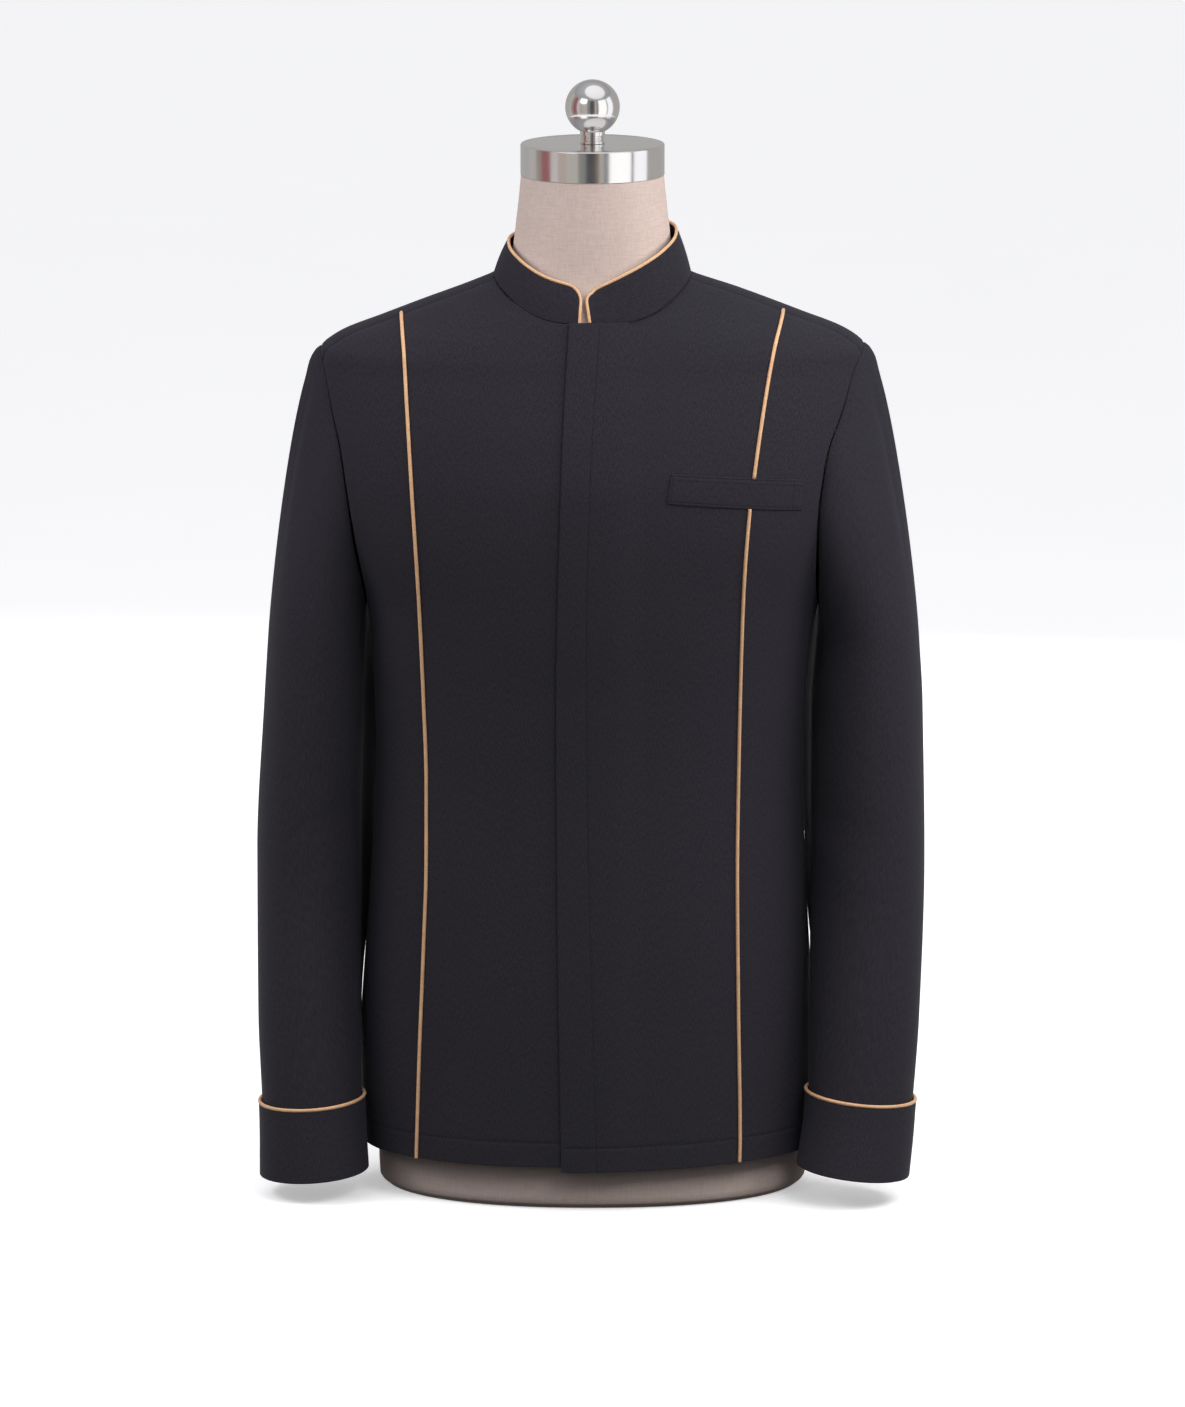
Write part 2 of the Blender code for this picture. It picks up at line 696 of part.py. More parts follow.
def sleeve_rows(side):
    levels = np.concatenate([np.array(SLEEVE_LEVELS) * MM,
                             [cuff_levels(side)[-1] + ABOVE_CUFF], cuff_levels(side)[::-1]])
    levels[-1] += CUFF_DROP
    return np.concatenate([even(HEAD_STEPS), 1 + SLEEVE_HEAD_END - levels])


def seam_turns(loop_turns, rows, start_shift, end_shift):
    """Columns of a sleeve piece, whose seams drift as they go down to the cuff."""
    span = loop_turns[-1] - loop_turns[0]
    place = (loop_turns - loop_turns[0]) / span
    drift = np.clip((rows - 1) / SLEEVE_DRIFT_LENGTH, 0, 1)
    start = loop_turns[0] + start_shift * drift
    end = loop_turns[-1] + end_shift * drift
    return start[:, None] + (end - start)[:, None] * place[None]


def sleeve_columns(rows, side):
    """Turns of the top and under sleeve's columns at each row."""
    front = FRONT_TURNS[side][::-1]
    back = BACK_TURNS[side]
    over = np.concatenate([back[BACK_SEAM_COLUMN:-1], front[:-FRONT_SEAM_COLUMN]])
    under = np.concatenate([front[-FRONT_SEAM_COLUMN - 1:-1], back[:BACK_SEAM_COLUMN + 1] + 360])
    return {"top": seam_turns(over, rows, BACK_SEAM_DRIFT, 0),
            "under": seam_turns(under, rows, 0, BACK_SEAM_DRIFT)}


def build_sleeve(side):
    rows = sleeve_rows(side)
    for name, turns in sleeve_columns(rows, side).items():
        wrapped = (turns + 180) % 360 - 180
        grid_rows = np.broadcast_to(rows[:, None], turns.shape)
        point, normal = sleeve_surface(side, wrapped, grid_rows)
        outer = inset(point, normal, SEAM_GAP / 2)
        outer[0] = point[0]
        outer[0, 0] += (outer[1, 0] - point[1, 0])
        outer[0, -1] += (outer[1, -1] - point[1, -1])
        inner = outer - WALL * normal
        wall(f"sleeve_{side}_{name}", mirrored(outer, side), mirrored(inner, side), "suit_cloth")


def build_cuff(side):
    rows = 1 + SLEEVE_HEAD_END - cuff_levels(side)
    columns = sleeve_columns(rows, side)
    grid_turns = np.concatenate([columns["top"][:, :-1], columns["under"][:, :-1]], 1)
    grid_turns = (grid_turns + 180) % 360 - 180
    grid_rows = np.broadcast_to(rows[:, None], grid_turns.shape)
    point, normal = sleeve_surface(side, grid_turns, grid_rows)
    level_normal = unit(normal * np.array([1, 1, 0]))
    inner = point + CUFF_GAP * level_normal
    outer = inner + CUFF_WALL * level_normal
    wall(f"cuff_{side}", mirrored(outer, side), mirrored(inner, side), "suit_cloth", closed=True)
    rim = (outer[-1] + inner[-1]) / 2
    above = np.array([0, 0, PIPING_RADIUS + SEAM_GAP])
    path = rim + CUFF_PIPING_OUT * level_normal[-1] + above
    tube(f"piping_cuff_{side}", mirrored(path, side), PIPING_RADIUS, "piping_satin", closed=True)


def collar_top(turn):
    """The collar's upper edge, at a turn from the centre front."""
    x, y = neck_oval(turn, COLLAR_TOP_HALF_WIDTH, COLLAR_TOP_FRONT, COLLAR_TOP_BACK)
    from_front = 180 - np.abs(np.abs(turn) % 360 - 180)
    towards_right = -np.sin(np.radians(turn))
    drop = COLLAR_RIGHT_DROP * smooth_step(0, 0.5, towards_right)
    return np.stack([x, y, COLLAR_TOP.at("height", from_front) - drop], -1)


def collar_columns():
    """Turns of the collar's columns at its base and its top, from the right end to the left."""
    corner_turns = np.degrees(np.array(COLLAR_CORNER_STEPS) / NECK_HALF_WIDTH)
    side_turns = np.concatenate([NECK_TURNS[2:], NECK_BACK_TURNS[:-1][::-1]])
    right = np.concatenate([COLLAR_END_TURNS["base"][0] - corner_turns, -side_turns])
    left = np.concatenate([COLLAR_END_TURNS["base"][1] + corner_turns, [NECK_TURNS[1]],
                           side_turns[:-1]])
    base = np.concatenate([right, left[::-1] - 360])
    share = (base - base[0]) / (base[-1] - base[0])
    first, last = COLLAR_END_TURNS["top"]
    return base, first + share * (last - 360 - first)


def build_collar():
    """The stand collar, with both front corners rounded, and the piping round its edge."""
    base_turns, top_turns = collar_columns()
    base, edge, _ = line_frame(neckline, base_turns)
    base = base + COLLAR_GAP * edge
    top = collar_top(top_turns)
    height = np.linalg.norm(top - base, axis=1)
    along = np.concatenate([[0], np.cumsum(np.linalg.norm(np.diff(top, axis=0), axis=1))])
    from_end = np.minimum(along, along[-1] - along)
    into_corner = np.clip(COLLAR_CORNER - from_end, 0, COLLAR_CORNER)
    cut = COLLAR_CORNER - np.sqrt(COLLAR_CORNER**2 - into_corner**2)
    rows = even(COLLAR_ROWS)[:, None, None]
    full = base[None] + (top - base)[None] * rows
    outer = base[None] + (top - base)[None] * rows * (1 - cut / height)[None, :, None]
    upwards = np.broadcast_to((top - base)[None], outer.shape)
    face = unit(np.cross(upwards, np.gradient(full, axis=1)))
    inner = outer - WALL * face
    wall("collar", outer, inner, "suit_cloth")
    path, path_face = (np.concatenate([grid[:, 0], grid[-1, 1:-1], grid[::-1, -1]])
                       for grid in ((outer + inner) / 2, face))
    outwards = unit(np.cross(unit(np.gradient(path, axis=0)), path_face))
    path = path + outwards * (COLLAR_PIPING_RADIUS + SEAM_GAP)
    path[0] += COLLAR_PIPING_LIFT * unit(path[1] - path[0])
    path[-1] += COLLAR_PIPING_LIFT * unit(path[-2] - path[-1])
    tube("piping_collar", path, COLLAR_PIPING_RADIUS, "piping_satin")


def welt_point(across, up):
    """A point of the welt's outline: across from its inner end, up from its lower edge."""
    low, high = (WELT[edge] for edge in ("lower", "upper"))
    x = (low[0] + (low[2] - low[0]) * across) * (1 - up) + (high[0] + (high[2] - high[0]) * across) * up
    z = (low[1] + (low[3] - low[1]) * across) * (1 - up) + (high[1] + (high[3] - high[1]) * across) * up
    return x, z


def build_welt():
    """The chest pocket's welt, laid on the left front."""
    x, z = welt_point(even(10)[None], even(2)[:, None])
    grid = np.stack([x, front_of_level(z, x), z], -1)
    normal = body_normal(grid)
    inner = grid + SEAM_GAP * normal
    wall("chest_welt", inner + WELT_THICKNESS * normal, inner, "suit_cloth")


def build_front_piping(princess, side):
    """Piping along a princess seam, broken where the pocket's welt crosses it."""
    path = princess + body_normal(princess) * (PIPING_RADIUS + SEAM_GAP)
    path[0, 2] = HEM_HEIGHT + SEAM_GAP
    if side == "right":
        tube("piping_front_right", mirrored(path, side), PIPING_RADIUS, "piping_satin")
        return
    height = path[:, 2]
    below, above = (welt_point(WELT_CROSSING, up)[1] for up in (0, 1))
    stretches = {"lower": (height[0], below - WELT_CLEARANCE),
                 "upper": (above + WELT_CLEARANCE, height[-1])}
    for name, (first, last) in stretches.items():
        between = (height > first + WELT_CLEARANCE) & (height < last - WELT_CLEARANCE)
        ends = [[np.interp(z, height, path[:, k]) for k in range(3)] for z in (first, last)]
        tube(f"piping_front_left_{name}", np.concatenate([ends[:1], path[between], ends[1:]]),
             PIPING_RADIUS, "piping_satin")


def build_form():
    """The dress form's padded torso, in level rings from its base to its neck."""
    levels = FORM.rows[:, 0]
    angles = np.linspace(0, 2 * math.pi, FORM_STEPS + 1)[:-1]
    bm = bmesh.new()
    rings = []
    for height in levels:
        power = float(FORM.at("power", height))
        sine = np.sin(angles)
        cosine = np.cos(angles)
        depth = np.where(sine < 0, FORM.at("front", height), FORM.at("back", height))
        x = FORM.at("half_width", height) * np.sign(cosine) * np.abs(cosine)**(2 / power)
        y = depth * np.sign(sine) * np.abs(sine)**(2 / power)
        rings.append([bm.verts.new((a, b, height)) for a, b in zip(x, y)])
    for low, high in zip(rings[:-1], rings[1:]):
        for j in range(len(angles)):
            k = (j + 1) % len(angles)
            bm.faces.new((low[j], low[k], high[k], high[j]))
    bm.faces.new(rings[0][::-1])
    bm.faces.new(rings[-1])
    add_object("form_torso", mesh_from_bmesh("form_torso", bm), "form_linen")


def turned(name, profile, material, steps=36):
    """A turned piece from its profile, given as radius and height from the top down."""
    mesh = bpy.data.meshes.new(name)
    points = [(radius, 0, height) for radius, height in profile]
    mesh.from_pydata(points, [(i, i + 1) for i in range(len(points) - 1)], [])
    item = add_object(name, mesh, material)
    screw = item.modifiers.new("turn", "SCREW")
    screw.steps = steps
    screw.render_steps = steps
    screw.use_merge_vertices = True
    screw.merge_threshold = 0.01 * MM
    screw.use_smooth_shade = True
    return item


def build_neck_fittings():
    bottom, top = CAP_HEIGHTS
    turned("form_neck_cap", [
        (0, top), (CAP_RADIUS - CAP_ROUNDING, top),
        (CAP_RADIUS - CAP_ROUNDING / 3, top - CAP_ROUNDING / 3),
        (CAP_RADIUS, top - CAP_ROUNDING), (CAP_RADIUS, bottom), (0, bottom)], "chrome", 48)
    ball_low = BALL_CENTRE - math.sqrt(BALL_RADIUS**2 - STEM_RADIUS**2)
    start = math.atan2(STEM_RADIUS, BALL_CENTRE - ball_low)
    ball = [(BALL_RADIUS * math.sin(a), BALL_CENTRE + BALL_RADIUS * math.cos(a))
            for a in np.linspace(0, math.pi - start, 14)]
    foot = top + SEAM_GAP
    stem = [(STEM_RADIUS - depth, foot + height) for depth, height in STEM_GROOVE]
    turned("form_finial", ball + stem + [(STEM_RADIUS, foot), (0, foot)], "chrome", 28)


def make_material(name, colour, roughness, metallic):
    material = bpy.data.materials.new(name)
    material.use_nodes = True
    shader = next(n for n in material.node_tree.nodes if n.type == "BSDF_PRINCIPLED")
    shader.inputs["Base Color"].default_value = (*colour, 1)
    shader.inputs["Roughness"].default_value = roughness
    shader.inputs["Metallic"].default_value = metallic
    return material


for old in list(bpy.data.objects):
    bpy.data.objects.remove(old)
COLLECTION = bpy.data.collections.new(OBJECT_NAME)
bpy.context.scene.collection.children.link(COLLECTION)
MATERIALS = {
    "suit_cloth": make_material("suit_cloth", (0.028, 0.027, 0.034), 0.75, 0),
    "piping_satin": make_material("piping_satin", (0.72, 0.38, 0.16), 0.4, 0),
    "form_linen": make_material("form_linen", (0.61, 0.50, 0.46), 0.9, 0),
    "chrome": make_material("chrome", (0.76, 0.75, 0.74), 0.12, 1),
}

for wearer_side in ("left", "right"):
    build_front_piping(build_front(wearer_side), wearer_side)
    build_sleeve(wearer_side)
    build_cuff(wearer_side)
build_back()
build_collar()
build_welt()
build_form()
build_neck_fittings()
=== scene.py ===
# Looks of the stand-collar jacket and its dress form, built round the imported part.
# Metres, +Z up. The front faces -Y and the wearer's left is at +X. Tables are in millimetres.
import math

import bmesh
import bpy
import numpy as np
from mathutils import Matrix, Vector


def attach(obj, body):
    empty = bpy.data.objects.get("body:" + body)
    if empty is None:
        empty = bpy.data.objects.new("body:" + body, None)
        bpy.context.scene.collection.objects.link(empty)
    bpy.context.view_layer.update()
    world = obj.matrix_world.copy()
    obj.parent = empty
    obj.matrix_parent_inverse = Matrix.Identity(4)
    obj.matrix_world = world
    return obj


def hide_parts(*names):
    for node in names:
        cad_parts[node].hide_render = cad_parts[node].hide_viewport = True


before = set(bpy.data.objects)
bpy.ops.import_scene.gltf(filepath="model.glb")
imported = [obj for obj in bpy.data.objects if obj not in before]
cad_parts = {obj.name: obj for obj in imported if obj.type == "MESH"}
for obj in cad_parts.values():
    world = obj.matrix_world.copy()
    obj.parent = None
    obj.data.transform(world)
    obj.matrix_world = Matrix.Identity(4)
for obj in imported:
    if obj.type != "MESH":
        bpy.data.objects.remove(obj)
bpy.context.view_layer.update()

MM = 0.001

# Cloth
WALL = 2.0 * MM
SEAM_GAP = 0.3 * MM
LAP_RAISE = 2.5 * MM
HEM_HEIGHT = 36.5 * MM

# Neck and shoulder
NECK_HALF_WIDTH = 81 * MM
NECK_FRONT = 81 * MM
NECK_BACK = 68 * MM
NECK_ROUNDNESS = {"front": 2.6, "back": 2.1}
# Heights between which the neck seam and the outer ends of the shoulder seams lie
NECK_HEIGHTS = (700 * MM, 785 * MM)
SHOULDER_HEIGHTS = (700 * MM, 745 * MM)
LEFT_SHOULDER_RISE = 2.5 * MM
SHOULDER_SEAM_Y = -19 * MM
SHOULDER_SPLIT_X = 156.5 * MM

# Armhole
ARMHOLE_CENTRE = 593.5 * MM
ARMHOLE_HALF_HEIGHT = 107.5 * MM
ARMHOLE_FRONT = {"left": 71 * MM, "right": 54 * MM}
ARMHOLE_BACK = 80 * MM
ARMHOLE_TURN_STEP = 0.2
ARMPIT = ARMHOLE_CENTRE - ARMHOLE_HALF_HEIGHT

# Front closure
TOP_OVERLAP = {"left": 19 * MM, "right": 10 * MM}
LAP_FULL = 14 * MM
LAP_END = 45 * MM

# Sleeve and cuff
SLEEVE_HEAD_END = 455 * MM
SLEEVE_HEAD_HANG = 0.75
BACK_SEAM_DRIFT = 45
SLEEVE_DRIFT_LENGTH = 350 * MM
CUFF_WALL = 2.4 * MM
CUFF_GAP = 0.6 * MM
CUFF_HEIGHT = 58.5 * MM
CUFF_DROP = 1.5 * MM
CUFF_PIPING_OUT = 0.4 * MM

# Collar
COLLAR_TOP_HALF_WIDTH = 70 * MM
COLLAR_TOP_FRONT = 71 * MM
COLLAR_TOP_BACK = 64 * MM
COLLAR_CORNER = 11 * MM
COLLAR_END_TURNS = {"base": (-8.2, -0.8), "top": (-7.9, -4.0)}
# How far the collar's top edge drops on the wearer's right, and from where to where it does so,
# from -1 at the wearer's left to 1 at the right, on its front half and its back half
COLLAR_RIGHT_DROP = 9 * MM
COLLAR_DROP_FADE = {"front": (-0.1, 0.65), "back": (-0.6, 1)}

# Welt pocket
WELT_THICKNESS = 1.5 * MM
WELT_CLEARANCE = 0.8 * MM
WELT_CROSSING = 0.63
# Each long edge from its inner to its outer end: x, height, x, height
WELT = {"upper": (64 * MM, 612 * MM, 172.5 * MM, 601 * MM),
        "lower": (60.5 * MM, 588.5 * MM, 170 * MM, 577 * MM)}

# Piping
PIPING_RADIUS = 1.5 * MM
COLLAR_PIPING_RADIUS = 1.3 * MM

# Chrome neck cap and finial
CAP_RADIUS = 59 * MM
CAP_HEIGHTS = (841.3 * MM, 867 * MM)
CAP_ROUNDING = 1.2 * MM
STEM_RADIUS = 10.2 * MM
BALL_RADIUS = 22.4 * MM
BALL_CENTRE = 897 * MM

# Grids of the cloth
COLUMN_STEP = 4.5 * MM
ROW_STEP = 5 * MM
LINE_STEPS = 400
GRADIENT_STEP = 0.05 * MM
SETTLE_STEPS = 12
SOLVE_STEPS = 50
EDGE_RADIUS = 0.85 * MM
EDGE_ROWS = np.array([0, 0.15, 0.45, 0.9, 1.8, 3]) * MM
NECK_BACK_STEPS = 28
# How far each front's lower corner hangs below the hem, or above it, and how far that reaches
CORNER_DROP = {"left": 2.6 * MM, "right": -1.6 * MM}
CORNER_WIDTH = 190 * MM
CORNER_TOP = 190 * MM
# Where the raised left shoulder, the fuller right side and the sunk shoulder seams begin and
# reach their full depth, out from the centre line, and the shoulder's rise by height
RAISED_ACROSS = (70 * MM, 120 * MM)
RAISED_UPWARDS = (560 * MM, 690 * MM)
HUNG_ACROSS = (140 * MM, 176 * MM)
SEWN_ACROSS = (78 * MM, 86 * MM)
SEAM_SINK = 1.2 * MM
SEAM_SINK_WIDTH = 2.4 * MM
# How far the sleeve heads puff out, and how far below the seam and how broadly they do
SLEEVE_HEAD_PUFF = (1.2 * MM, 15 * MM, 9 * MM)
UPPER_LENGTH = 250 * MM
HEAD_LENGTH = 190 * MM
LENGTH_PER_TURN = 1.0 * MM
SEAM_LENGTH = 78 * MM
SIDE_SEAM_LENGTH = 75 * MM
BACK_SEAM_SHARE = 7 / 13
FRONT_SEAM_SHARE = 2 / 11
CUFF_STEP = 4 * MM
CUFF_LENGTH_PER_TURN = 0.8 * MM
CUFF_EDGE_RADIUS = 1.1 * MM
CUFF_SEAM_DEPTH = 0.7 * MM
CUFF_PIPING_SINK = 0.5 * MM
PIPING_SINK = 0.7 * MM
PIPING_SIDES = 14
PIPING_UP = (0.31, -0.2, 0.93)
COLLAR_MEAN_RADIUS = 75 * MM
COLLAR_COLUMNS = 110
COLLAR_HEIGHT = 60 * MM
COLLAR_STEP = 2.5 * MM
COLLAR_BOW = 0.8 * MM
COLLAR_PIPING_STEPS = 259
COLLAR_PIPING_SINK = 0.4 * MM
WELT_LENGTH = 110 * MM
WELT_HEIGHT = 22 * MM
WELT_STEP = 2 * MM
WELT_EDGE_RADIUS = 0.7 * MM
WELT_LIFT = -0.2 * MM
WELT_STITCH = 1.8 * MM
WELT_FACING = (0.35, -0.93, 0.1)

# Stitches
STITCH_LENGTH = 2.6 * MM
STITCH_PITCH = 3.2 * MM
STITCH_DEPTH = 0.35 * MM
STITCH_WIDTH = 0.8 * MM
STITCH_ROWS = np.array([-2, -1.1, -0.5, 0, 0.5, 1.1, 2]) * MM
THREAD_RADIUS = 0.2 * MM
THREAD_LIFT = 0.1 * MM
# Place along the thread as a share of its length, then its radius and how far it dives into the
# cloth, as shares of the full radius
THREAD_SHAPE = ((-0.5, 0.15, 1), (-0.42, 0.7, 0.35), (-0.2, 1, 0), (0.2, 1, 0), (0.42, 0.7, 0.35),
                (0.5, 0.15, 1))
HEM_STITCH = 20 * MM
FLY_STITCH_TOP = 25 * MM
FLY_STITCH_HEM = 28 * MM

# Form and fittings
FORM_ROWS = 170
FORM_STEPS = 160
FORM_FOOT_ROWS = (0, 0.6, 1.6, 3)
CAP_FOOT = 0.4 * MM
CAP_INNER_RING = 40 * MM
CAP_STEPS = 128
BALL_ROWS = 48
BALL_STEPS = 96
# Depth and height above the cap of the ring cut into the stem, in millimetres
STEM_GROOVE = ((0, 6.8), (0.3, 6.5), (0.9, 5.9), (0.9, 5.1), (0.3, 4.6), (0.3, 3.9), (0.9, 3.4),
               (0.9, 2.6), (0.3, 2.1), (0, 1.8), (0, 0))

# Camera and light
CAMERA_DISTANCE = 8
CAMERA_PITCH = 10.8
CAMERA_TARGET_HEIGHT = 400.4 * MM
CAMERA_LENS = 247.5
FLOOR_SIZE = 160
# Strength of the surroundings below the horizon, just above it and overhead
WORLD_STRENGTHS = (0.04, 0.17, 0.56)
WORLD_COLOUR = (0.94, 0.95, 1)
FLOOR_COLOUR = (0.88, 0.88, 0.88)
FLOOR_GLOW = 0.4
# Name, kind, place, size, power, colour and aim of each soft light, in metres and watts, or
# the sun's spread in degrees and its strength
LIGHTS = (
    ("sky", "SUN", (0.3, -0.5, 1.9), 70, 0.6, (1, 0.99, 0.98), (0, 0, 0)),
    ("key", "AREA", (0.75, -1.15, 1.6), 0.8, 11.5, (1, 0.985, 0.97), (0, 0, 0.76)),
    ("fill", "AREA", (-1.2, -1.35, 1.65), 1.0, 4.5, (0.95, 0.97, 1), (0, 0, 0.76)),
    ("right", "AREA", (1.2, -0.3, 1.35), 0.6, 11, (1, 0.98, 1), (0.2, 0, 0.76)),
    ("left", "AREA", (-1.2, -0.3, 1.35), 0.6, 9, (0.98, 0.98, 1), (-0.2, 0, 0.78)),
    ("back", "AREA", (0.4, 2.3, 1.0), 1.4, 11, (1, 0.99, 0.98), (0, 0, 0.5)),
)
# Lights that show in the chrome
SHINING = ("sky", "fill")
# Bands of the cards that only the chrome reflects: end of each band round the object from its
# back by the wearer's right, in degrees, and its colour and strength
CARD_RADIUS = 1.9
CARD_HEIGHT = 2.05
CARD_GAIN = 1.35
CARD_BLEND = 2.5
CARD_BANDS = (
    (60, (0.46, 0.45, 0.44), 0.7),
    (80, (0.50, 0.48, 0.47), 0.72),
    (92, (0.38, 0.34, 0.29), 0.6),
    (110, (0.42, 0.14, 0.15), 0.55),
    (124, (0.60, 0.57, 0.57), 0.72),
    (138, (0.50, 0.43, 0.38), 0.7),
    (158, (0.52, 0.49, 0.46), 0.7),
    (170, (0.30, 0.31, 0.29), 0.6),
    (184, (0.07, 0.07, 0.08), 0.8),
    (190, (0.22, 0.16, 0.11), 0.7),
    (198, (0.50, 0.48, 0.46), 0.7),
    (206, (0.25, 0.25, 0.27), 0.7),
    (244, (1.0, 1.0, 1.0), 0.95),
    (248, (0.10, 0.10, 0.12), 0.7),
    (276, (0.95, 0.96, 1.0), 0.9),
    (360, (0.46, 0.45, 0.44), 0.7),
)

# What shows of each piece's flat cut: greatest width and length in metres, area in square
# metres, and what it rests on
CUTS = {
    "back": (0.597, 0.806, 0.344, "form_torso_linen"),
    "front_left_centre": (0.221, 0.765, 0.114, "form_torso_linen"),
    "front_left_side": (0.136, 0.733, 0.0745, "form_torso_linen"),
    "front_right_centre": (0.211, 0.762, 0.116, "form_torso_linen"),
    "front_right_side": (0.108, 0.728, 0.0646, "form_torso_linen"),
    "sleeve_left_top": (0.356, 0.702, 0.121, "front_left_side_cloth"),
    "sleeve_left_under": (0.229, 0.642, 0.079, "sleeve_left_top_cloth"),
    "sleeve_right_top": (0.333, 0.700, 0.115, "front_right_side_cloth"),
    "sleeve_right_under": (0.229, 0.645, 0.0833, "sleeve_right_top_cloth"),
    "cuff_left": (0.296, 0.063, 0.0178, "sleeve_left_top_cloth"),
    "cuff_right": (0.302, 0.060, 0.0178, "sleeve_right_top_cloth"),
    "collar": (0.505, 0.041, 0.0165, "back_cloth"),
    "chest_welt": (0.119, 0.026, 0.00302, "front_left_centre_cloth"),
}

# Creases: panel, then both ends' distance from the centre and height, width and depth. The
# sleeves' have the turn round the sleeve in place of the distance
CREASES = (
    ("front_left_side", 186, 560, 168, 470, 16, -1.0),
    ("front_left_side", 180, 470, 172, 360, 20, -0.8),
    ("front_right_side", 190, 565, 172, 480, 15, -1.0),
    ("front_right_side", 182, 440, 176, 330, 20, -0.8),
    ("back", 60, 330, 150, 345, 22, -1.6),
    ("back", -50, 310, -145, 350, 20, -1.4),
    ("back", 20, 290, 110, 285, 18, 1.2),
    ("back", 175, 560, 150, 430, 22, -1.5),
    ("back", -175, 570, -150, 440, 22, -1.5),
    ("sleeve_left", 150, 330, 70, 290, 16, -1.5),
    ("sleeve_left", 160, 300, 95, 255, 13, 1.2),
    ("sleeve_left", -120, 300, -60, 260, 16, -1.2),
    ("sleeve_left", 175, 420, 140, 380, 14, -1.2),
    ("sleeve_right", 150, 335, 80, 300, 15, -1.5),
    ("sleeve_right", 160, 290, 100, 250, 13, 1.2),
    ("sleeve_right", -120, 310, -55, 270, 16, -1.2),
    ("sleeve_right", 175, 425, 140, 380, 14, -1.2),
)


def curve(t, start, end, leave, arrive):
    """A smooth curve between two places, by the ways it leaves one and arrives at the other."""
    return (start * (2 * t**3 - 3 * t**2 + 1) + end * (3 * t**2 - 2 * t**3)
            + leave * (t**3 - 2 * t**2 + t) + arrive * (t**3 - t**2))


# Columns of tables that don't hold millimetres
PLAIN = ("power", "turn", "rise", "share", "tilt", "lean", "reach")


class Table:
    """Rows of numbers with named columns, joined by smooth curves that never overshoot."""

    def __init__(self, columns, rows):
        self.columns = columns
        self.rows = np.array(rows, float) * [1 if name in PLAIN else MM for name in columns]
        step = np.diff(self.rows[:, 0])[:, None]
        rise = np.diff(self.rows, axis=0) / step
        same_way = rise[:-1] * rise[1:] > 0
        low, high = (np.where(same_way, part, 1) for part in (rise[:-1], rise[1:]))
        before = 2 * step[1:] + step[:-1]
        after = step[1:] + 2 * step[:-1]
        bends = np.where(same_way, (before + after) / (before / low + after / high), 0)
        self.slopes = np.concatenate([rise[:1], bends, rise[-1:]])

    def at(self, name, value):
        k = self.columns.index(name)
        x = self.rows[:, 0]
        y = self.rows[:, k]
        value = np.clip(value, x[0], x[-1])
        i = np.clip(np.searchsorted(x, value) - 1, 0, len(x) - 2)
        step = x[i + 1] - x[i]
        return curve((value - x[i]) / step, y[i], y[i + 1],
                     step * self.slopes[i, k], step * self.slopes[i + 1, k])


# Outside of the jacket's body: half width, front and back depth, and roundness of each level
BODY = Table(("height", "half_width", "front", "back", "power"), (
    (0, 192, 136, 126, 2.2),
    (33, 190, 134, 124, 2.2),
    (120, 185, 130, 119, 2.2),
    (240, 178, 124, 109, 2.2),
    (350, 174, 119, 101, 2.2),
    (420, 177, 121, 103, 2.2),
    (486, 186, 126, 111, 2.2),
    (549, 209, 128, 117, 2.2),
    (590, 219, 126, 119, 2.15),
    (630, 224, 118, 116, 2.1),
    (665, 226, 107, 110, 2.0),
    (692, 227, 97, 102, 1.9),
    (699, 225, 94.5, 100, 1.9),
    (705, 218, 92, 97.5, 1.85),
    (712, 207, 89, 94.5, 1.85),
    (725, 174, 83.5, 88, 1.8),
    (739, 137, 76.5, 82, 1.8),
    (752, 101, 70, 76, 1.85),
    (760, 82, 66, 72, 1.9),
    (768, 72, 62, 69, 1.9),
    (790, 58, 56, 60, 2.0),
))

# How much wider the body hangs on the wearer's right
RIGHT_SIDE = Table(("height", "extra"), (
    (33, 2.5), (66, 5), (100, 7.2), (149, 8.7), (187, 8.4), (240, 7), (350, 6), (440, 3.5),
    (486, 0), (600, 0)))

# Dress form, from its flat base to the top of its neck
FORM = Table(("height", "half_width", "front", "back", "power"), (
    (0, 172, 116, 106, 2.2),
    (5, 177, 121, 111, 2.2),
    (33, 178, 121, 111, 2.2),
    (120, 173, 118, 107, 2.2),
    (240, 167, 113, 98, 2.2),
    (350, 164, 109, 91, 2.2),
    (420, 167, 111, 93, 2.2),
    (486, 175, 116, 100, 2.2),
    (520, 187, 118, 104, 2.2),
    (549, 197, 118, 106, 2.2),
    (590, 207, 116, 108, 2.15),
    (630, 212, 108, 105, 2.1),
    (665, 214, 98, 100, 2.0),
    (686, 213, 92, 97, 1.95),
    (701, 209, 88.5, 94, 1.85),
    (708, 202, 86, 91.5, 1.85),
    (721, 173, 80.5, 85, 1.8),
    (734.5, 136, 73, 77.5, 1.8),
    (747, 101, 66.5, 71.5, 1.85),
    (753, 84, 64.5, 68.5, 1.9),
    (760, 73.5, 63.5, 65.5, 1.95),
    (770, 68.5, 63, 63.5, 2.0),
    (787, 64.5, 62.5, 61.5, 2.0),
    (804, 62.5, 61.3, 60.3, 2.0),
    (820, 60.6, 60, 59.6, 2.0),
    (841, 58.6, 58.6, 58.6, 2.0),
))

# Each front's edge, measured from the centre line towards its own side: the left front's
# free edge laps over the centre, and the right front's hidden edge lies under it
FRONT_EDGE = {
    "left": Table(("height", "x"), (
        (33, -25.5), (240, -28.5), (400, -29.5), (620, -25), (732, -19))),
    "right": Table(("height", "x"), ((33, -10), (732, -10))),
}

